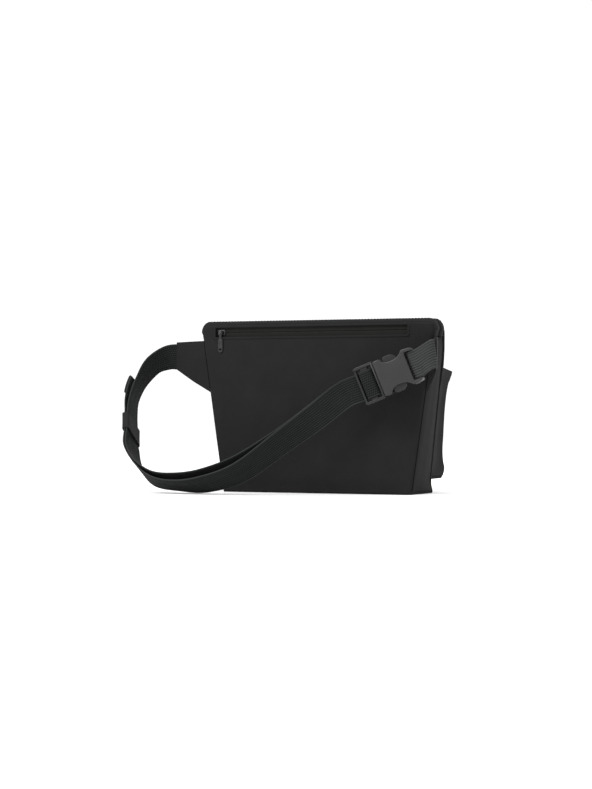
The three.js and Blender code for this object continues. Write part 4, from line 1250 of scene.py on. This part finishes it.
BELT_ROWS = belt_rows()
BELT_LAST = len(BELT_ROWS) - 1


def follow(rows, first, last, spacing=2.0, sheared=False):
    """Evenly spaced places on a route: middles, edge directions, outward directions, slacks, and how far along.

    Edges are turned square to the route, unless it is sheared, and then they are kept as given.
    """
    fine = np.linspace(first, last, int((last - first) * 60) + 2)
    at = np.array([along_rows(rows, u) for u in fine])
    run = run_along(at[:, :3])
    places = np.linspace(0, run[-1], max(int(run[-1] / spacing), 3) + 1)
    at = np.stack([np.interp(places, run, at[:, k]) for k in range(at.shape[1])], -1)
    along = unit(np.gradient(at[:, :3], axis=0))
    edge = at[:, 3:6]
    if not sheared:
        edge = unit(edge - along * np.sum(edge * along, axis=1)[:, None])
    outward = unit(np.cross(along, edge))
    return at[:, :3], edge, outward, at[:, 6] if at.shape[1] > 6 else np.zeros(len(at)), places


def webbing_section(width, thick, ribs, rib_height, edge_points=4):
    """Round a webbing's section: distance across, distance out, and the weave's coordinate across."""
    half, t = width / 2, thick / 2
    per_rib = 4
    count = ribs * per_rib
    flat = half - t * 0.8
    across = np.linspace(-flat, flat, count + 1)
    bulge = rib_height * (np.abs(np.sin(np.pi * (across + flat) / (2 * flat) * ribs)) - 1)
    points = [(a, t + b, a) for a, b in zip(across, bulge)]
    for k in range(1, edge_points):
        turn = math.pi * k / edge_points
        points.append((flat + math.sin(turn) * t * 0.8, math.cos(turn) * t * 0.92, half))
    points += [(a, -(t + b), a) for a, b in zip(across[::-1], bulge[::-1])]
    for k in range(1, edge_points):
        turn = math.pi * k / edge_points
        points.append((-flat - math.sin(turn) * t * 0.8, -math.cos(turn) * t * 0.92, -half))
    return np.array(points)


def ribbon(name, middles, edges, outwards, material, width=WEBBING_WIDTH, thick=WEBBING, ribs=14,
           rib_height=0.12, run=None):
    section = webbing_section(width, thick, ribs, rib_height)
    rings = (middles[:, None] + edges[:, None] * section[None, :, 0, None]
             + outwards[:, None] * section[None, :, 1, None])
    if run is None:
        run = run_along(middles)
    weave = np.stack(np.broadcast_arrays(run[:, None], section[None, :, 2]), -1).reshape(-1, 2)
    return tube(name, rings, material, weave, sharp=60)


def framed(points, edges):
    """Outward directions for a line of points with given edge directions."""
    along = unit(np.gradient(points, axis=0))
    edges = unit(edges - along * np.sum(edges * along, axis=1)[:, None])
    return edges, np.cross(along, edges)


def add_belt():
    middles, edges, outwards, _, run = follow(BELT_ROWS, 0, BELT_LAST)
    belt = ribbon("belt_layer", middles, edges, outwards, BELT, run=run)
    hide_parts("belt_webbing")
    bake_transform(belt)

    middles, edges, outwards, slack, run = follow(BELT_ROWS, TAIL_END, BELT_LAST)
    line = middles + outwards * slack[:, None]
    folded_m, folded_e, folded_o, folded_s, _ = follow(BELT_ROWS, TAIL_END, TAIL_END + TAIL_FOLD, 1.6)
    back = folded_m + folded_o * (folded_s + TAIL_LIFT)[:, None]
    nose_middle = line[0] + outwards[0] * TAIL_LIFT / 2
    along = unit(line[1] - line[0])
    nose = [nose_middle + outwards[0] * (TAIL_LIFT / 2) * math.cos(a) - along * 1.5 * math.sin(a)
            for a in np.linspace(0, math.pi, 9)[1:-1]]
    points = np.concatenate([back[::-1], nose, line])
    spans = np.concatenate([folded_e[::-1], [edges[0]] * len(nose), edges])
    spans, out = framed(points, spans)
    tail = ribbon("belt_tail_layer", points, spans, out, BELT)
    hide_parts("belt_tail")
    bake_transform(tail)
    count = len(folded_m)
    for k, share in enumerate((0.25, 0.8)):
        i = int(share * (count - 1))
        top = folded_m[i] + folded_o[i] * (folded_s[i] + TAIL_LIFT + WEBBING / 2)
        row = [top + folded_e[i] * a for a in np.linspace(-10.5, 10.5, 15)]
        sewn_line(f"tail_stitch_{k}", row, folded_o[i], stitch=2.0, space=0.5, thick=0.3)


def rounded_loop(half_y, half_z, radius, corner_points=6):
    loop = []
    for cy, cz, start in ((1, 1, 0), (-1, 1, 1), (-1, -1, 2), (1, -1, 3)):
        for k in range(corner_points):
            a = (start + k / (corner_points - 1)) * math.pi / 2
            loop.append((cy * (half_y - radius) + radius * math.cos(a),
                         cz * (half_z - radius) + radius * math.sin(a)))
    dense = []
    for (a, b), (c, d) in zip(loop, loop[1:] + loop[:1]):
        gap = math.hypot(c - a, d - b)
        for k in range(max(int(gap / 1.5), 1)):
            t = k / max(int(gap / 1.5), 1)
            dense.append((mix(a, c, t), mix(b, d, t)))
    return np.array(dense)


def add_keeper():
    """Elastic sleeve sewn into a tube that holds both layers of the belt."""
    middles, edges, outwards, _, _ = follow(BELT_ROWS, KEEPER_AT - 0.1, KEEPER_AT + 0.1, 0.4)
    k = len(middles) // 2
    along = np.cross(edges[k], outwards[k])
    origin = middles[k] + outwards[k] * 1.1
    half = KEEPER_LENGTH / 2
    half_deep, half_wide = 3.6, 14.0
    outer = rounded_loop(half_deep, half_wide, 2.0)
    inner = outer * (1 - KEEPER_ELASTIC / np.array([half_deep, half_wide]))
    place = lambda s, y, z: origin + along * (s - KEEPER_ASKEW * z) - outwards[k] * y + edges[k] * z
    rings, weave = [], []
    stations = [(-half, 0.5), (-half + 0.15, 0.2), (-half + 0.5, 0.0)]
    stations += [(s, 0.0) for s in np.linspace(-half + 1, half - 1, 20)]
    stations += [(half - 0.5, 0.0), (half - 0.15, 0.2), (half, 0.5)]
    girth = run_along(outer)
    profile = [(s, 1 - 0.03 * d) for s, d in stations]
    for s, size in profile:
        hem = -0.18 * hump(abs(s), half - KEEPER_HEM, 0.5)
        waist = -0.25 * (1 - (s / half) ** 2)
        rings.append([place(s, y, z) for y, z in outer * size + unit(outer) * (hem + waist)])
        weave += [(s, g) for g in girth]
    for s, size in reversed(profile):
        rings.append([place(s, y, z) for y, z in inner])
        weave += [(s, g) for g in girth]
    sleeve = tube("keeper_sleeve", rings, KEEPER, np.array(weave, float), closed=True, sharp=70)
    settle(sleeve, "keeper", ["strap_keeper"])
    for n, at in enumerate((-half + KEEPER_HEM, half - KEEPER_HEM)):
        row = [place(at, 0.15 - half_deep, z) for z in np.linspace(-12, 12, 17)]
        sewn_line(f"keeper_stitch_{n}", row, outwards[k], "keeper", 1.9, 0.6, 0.28)


def add_bar_wrap():
    path = [(MALE_END_X + 1.9, LOAD_Y), (-18, LOAD_Y), (-14.6, 4.6), (-13.3, 2.6), (-13.2, -0.6), (-14.4, -2.7),
            (-16.4, -3.3), (-22.2, -3.3), (-24.2, -2.6), (-24.9, -0.8), (-25, 1.2), (-25.6, 2.5),
            (MALE_END_X + 1.9, TAIL_Y)]
    rows = np.array([[*from_buckle(x, y), *BUCKLE_Z] for x, y in path])
    middles, edges, outwards, _, run = follow(rows, 0, len(rows) - 1, 0.8)
    wrap = ribbon("bar_wrap_webbing", middles, edges, outwards, BELT, run=run)
    settle(wrap, "male_buckle", ["belt_bar_wrap"])


def add_stub():
    outer = 3.1
    upright, leaning = (-0.14, 0, 1.03), (-0.2, -0.03, 0.99)
    rows = [([125.4, -51.8, 128.9], upright), ([124.4, -54, 128.3], upright), ([121.9, -54.8, 126.4], upright),
            ([117.8, -53.4, 123.8], leaning)]
    round_bar = [(30.5, -outer), (27, -outer), (23.4, 0.9 - outer), (22.6, 0), (23.4, outer - 0.9), (27, outer),
                 (30.5, outer)]
    rows += [(from_buckle(x, -y), BUCKLE_Z) for x, y in round_bar]
    rows += [([118, -57.6, 123.6], leaning), ([123, -57.2, 126.7], upright), ([126.6, -55, 128.7], upright),
             ([127.4, -51.8, 128.9], upright)]
    rows = np.array([[*at, *edge] for at, edge in rows], float)
    middles, edges, outwards, _, run = follow(rows, 0, len(rows) - 1, 0.8, sheared=True)
    web = ribbon("stub_layer", middles, edges, outwards, STUB, ribs=11, rib_height=0.3, run=run)
    settle(web, "bag", ["stub_webbing"])


def add_rope_anchor():
    base = POCKET_BOTTOM + POCKET_FABRIC + GAP
    legs = [(-6.25, base + 0.2), (-6.25, base + 4)]
    arch = [(-6.25 * math.cos(a), base + 9 + 6.25 * math.sin(a)) for a in np.linspace(0, math.pi, 13)]
    path = legs + arch + [(-x, z) for x, z in reversed(legs)]
    points = np.array([(x, EYELET_Y, z) for x, z in path])
    edges, outwards = framed(points, np.tile([0.0, 1.0, 0.0], (len(points), 1)))
    loop = ribbon("anchor_loop_webbing", points, edges, outwards, BELT, 6, 1.4, ribs=4, rib_height=0.1)
    deep, high = (EYELET_Y - 2.8, EYELET_Y + 2.8), (base + 0.1, base + 1.4)
    foot = rounded_box("anchor_foot", (-6.8, 6.8), deep, high, 0.5, BELT)
    settle(joined("anchor_loop", [loop, foot]), "bag", ["rope_anchor_loop"])


# ---------- buckle ----------
def rounded(points, times=2, share=0.25):
    """A closed outline with its corners cut again and again."""
    for _ in range(times):
        fresh = []
        for a, b in zip(points, points[1:] + points[:1]):
            fresh.append((mix(a[0], b[0], share), mix(a[1], b[1], share)))
            fresh.append((mix(a[0], b[0], 1 - share), mix(a[1], b[1], 1 - share)))
        points = fresh
    return points


def settle_buckle(obj, body, nodes):
    moved(obj, BUCKLE_FRAME)
    return settle(obj, body, nodes)


def add_male():
    w = 18.0
    end_bar = (MALE_END_X, MALE_END_X + 2.4), (-1.8, 1.6), (-w + 1.5, w - 1.5), 0.9
    middle_bar = (-23.3, -15.4), (-1.9, 1.3), (-w + 1, w - 1), 1.1
    face = (MALE_FACE_X - 2.2, MALE_FACE_X), (-3.5, 3.5), (-w + 1, w - 1), 0.45
    tongue = (MALE_FACE_X - 0.5, 8), (-1.6, 1.6), (-2, 2), 0.6
    body = rounded_box("male_body", *end_bar, SHADED_MALE_PLASTIC)
    more = [rounded_box("male_part", *box, SHADED_MALE_PLASTIC) for box in (middle_bar, face, tongue)]
    for side in (-1, 1):
        arm = [(MALE_END_X, side * (w - 2.8)), (MALE_END_X, side * (w - 1.2)), (MALE_END_X + 2.2, side * w),
               (MALE_FACE_X, side * w), (MALE_FACE_X, side * (w - 2.8))]
        more.append(outline_solid("male_arm", arm, -3.5, 3.5, 0.85, SHADED_MALE_PLASTIC, steps=4))
    for part in more:
        boolean(body, part, "UNION")
    soften_edges(body, 0.18)
    settle_buckle(body, "male_buckle", ["buckle_male"])


def add_prongs():
    for name, side, body in (("upper", 1, "upper_prong"), ("lower", -1, "lower_prong")):
        outline = [(-9.3, 8.6), (-9.3, 12), (-5, 12.2), (-0.6, 12.4), (-0.3, 15.6), (0.8, 17.2), (4.5, 17.7),
                   (8.5, 17.2), (11.4, 15.2), (13, 12.8), (13, 11), (9.5, 9.4), (3, 9.1), (-3, 9)]
        outline = rounded([(x, side * z) for x, z in outline], 1, 0.22)
        prong = outline_solid(f"prong_{name}_arm", outline, -2.6, 2.6, 0.6, SHADED_MALE_PLASTIC)
        moved(prong, BUCKLE_FRAME)
        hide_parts(f"prong_{name}")
        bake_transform(prong)


def curve_points(start, control, end, count=8):
    """A quadratic curve's points, without the first."""
    at = lambda t, a, b, c: (1 - t) ** 2 * a + 2 * t * (1 - t) * b + t * t * c
    return [tuple(at(k / count, *values) for values in zip(start, control, end)) for k in range(1, count + 1)]


def add_female():
    w, waist = 16.8, 11.4
    half = [(-9.2, w - 0.9), (-8.3, w), (-2.6, w)]
    half += curve_points((-2.6, w), (-0.6, waist), (7, waist))
    half += curve_points((7, waist), (14.6, waist), (18, w - 1.2))
    half += curve_points((18, w - 1.2), (19, w), (21, w), 4)
    half += [(27, w - 0.8)] + curve_points((27, w - 0.8), (29, w - 1.4), (29, w - 3.2), 5)
    slot = rounded([(21, -13.3), (25, -13.3), (25, 13.3), (21, 13.3)], 1, 0.08)
    body = outline_solid("female_body", both_sides(half), -5.8, 5.8, 1.15, PLASTIC, [slot], 4)
    mouth = (-12, 17), (-3.1, 3.1), (-14.6, 14.6), 0.7
    windows = [((-0.9, 17), (-3.1, 3.1), across, 0.7) for across in ((7, 22), (-22, -7))]
    web_steps = [((24.6, 32), deep, (-13.3, 13.3), 0.3) for deep in ((2, 9), (-9, -2))]
    for cut in (mouth, *windows, *web_steps):
        boolean(body, rounded_box("female_cut", *cut, PLASTIC))
    soften_edges(body, 0.16)
    settle_buckle(body, "bag", ["buckle_female"])


# ---------- stitching on the pouch ----------
MOUTH_STITCHES = (103.5, 107.5)  # heights of the two rows under the pocket's mouth


def add_stitching():
    out, top = 2.8, BAG_HEIGHT - 3  # how far outside the zip's window the rows run, and where they stop
    low = REAR_ZIP_Z - REAR_HALF - out
    left, right = REAR_ZIP_X[0] - out, REAR_ZIP_X[1] + out

    def on_back(points):
        xs, zs = np.array([p[0] for p in points], float), np.array([p[1] for p in points], float)
        return np.stack([xs, back_face(xs, zs), zs], -1)

    straight = lambda a, b, n: [(mix(a[0], b[0], t), mix(a[1], b[1], t)) for t in np.linspace(0, 1, n)]
    lines = {
        "zip_below": straight((left, low), (right, low), 60),
        "zip_left": straight((left, low), (left, top), 10),
        "zip_right_1": straight((right, low), (right, top), 10),
        "zip_right_2": straight((right + 3.4, low - 0.6), (right + 3.4, top), 10),
    }
    for name, points in lines.items():
        sewn_line(f"stitch_{name}", on_back(points), (0, -1, 0))

    for name, y in (("back", INNER_BACK_Y + 3.0), ("front", inner_front_y(BAG_HEIGHT) - 3.0)):
        points, normals = over_top(-TOP_RUN + 3, TOP_RUN - 3, 3)
        points = points + normals * (3.7 * SIDE_CROWN / TOP_CROWN, 3.7)
        line = np.stack([points[:, 0], np.full(len(points), y), points[:, 1]], -1)
        facing = np.stack([normals[:, 0], np.zeros(len(points)), normals[:, 1]], -1)
        sewn_line(f"stitch_top_{name}", line, facing)

    for name, side in SIDES:
        for k, z in enumerate(MOUTH_STITCHES):
            t = np.linspace(0.08, 0.92, 8)
            near, far = front_y(z) + GAP, pocket_profile(z) - POCKET_FABRIC - GAP
            y = near + (far - near) * t
            x = side * (half_width(z) - 0.9 * np.sin(np.pi * t) + 0.1)
            line = np.stack([x, y, np.full(8, z)], -1)
            sewn_line(f"stitch_pocket_{name}_{k}", line, (side, 0, 0))
    for k, z in enumerate(MOUTH_STITCHES):
        x = np.linspace(-half_width(z) + 3, half_width(z) - 3, 60)
        y = pocket_face(x, np.full(60, z))
        line = np.stack([x, y, np.full(60, z)], -1)
        sewn_line(f"stitch_mouth_{k}", line, (0, 1, 0))


add_camera()
add_studio()
add_back_panel()
add_front_panel()
add_bottom_gusset()
add_side_gussets()
add_seam_shadows()
add_zip_gusset()
add_innards()
add_rear_zip()
add_main_zip()
add_rear_slider()
add_main_slider()
add_pocket()
add_pocket_floor()
add_pocket_hem()
add_wings()
add_belt()
add_keeper()
add_bar_wrap()
add_stub()
add_rope_anchor()
add_male()
add_prongs()
add_female()
add_stitching()
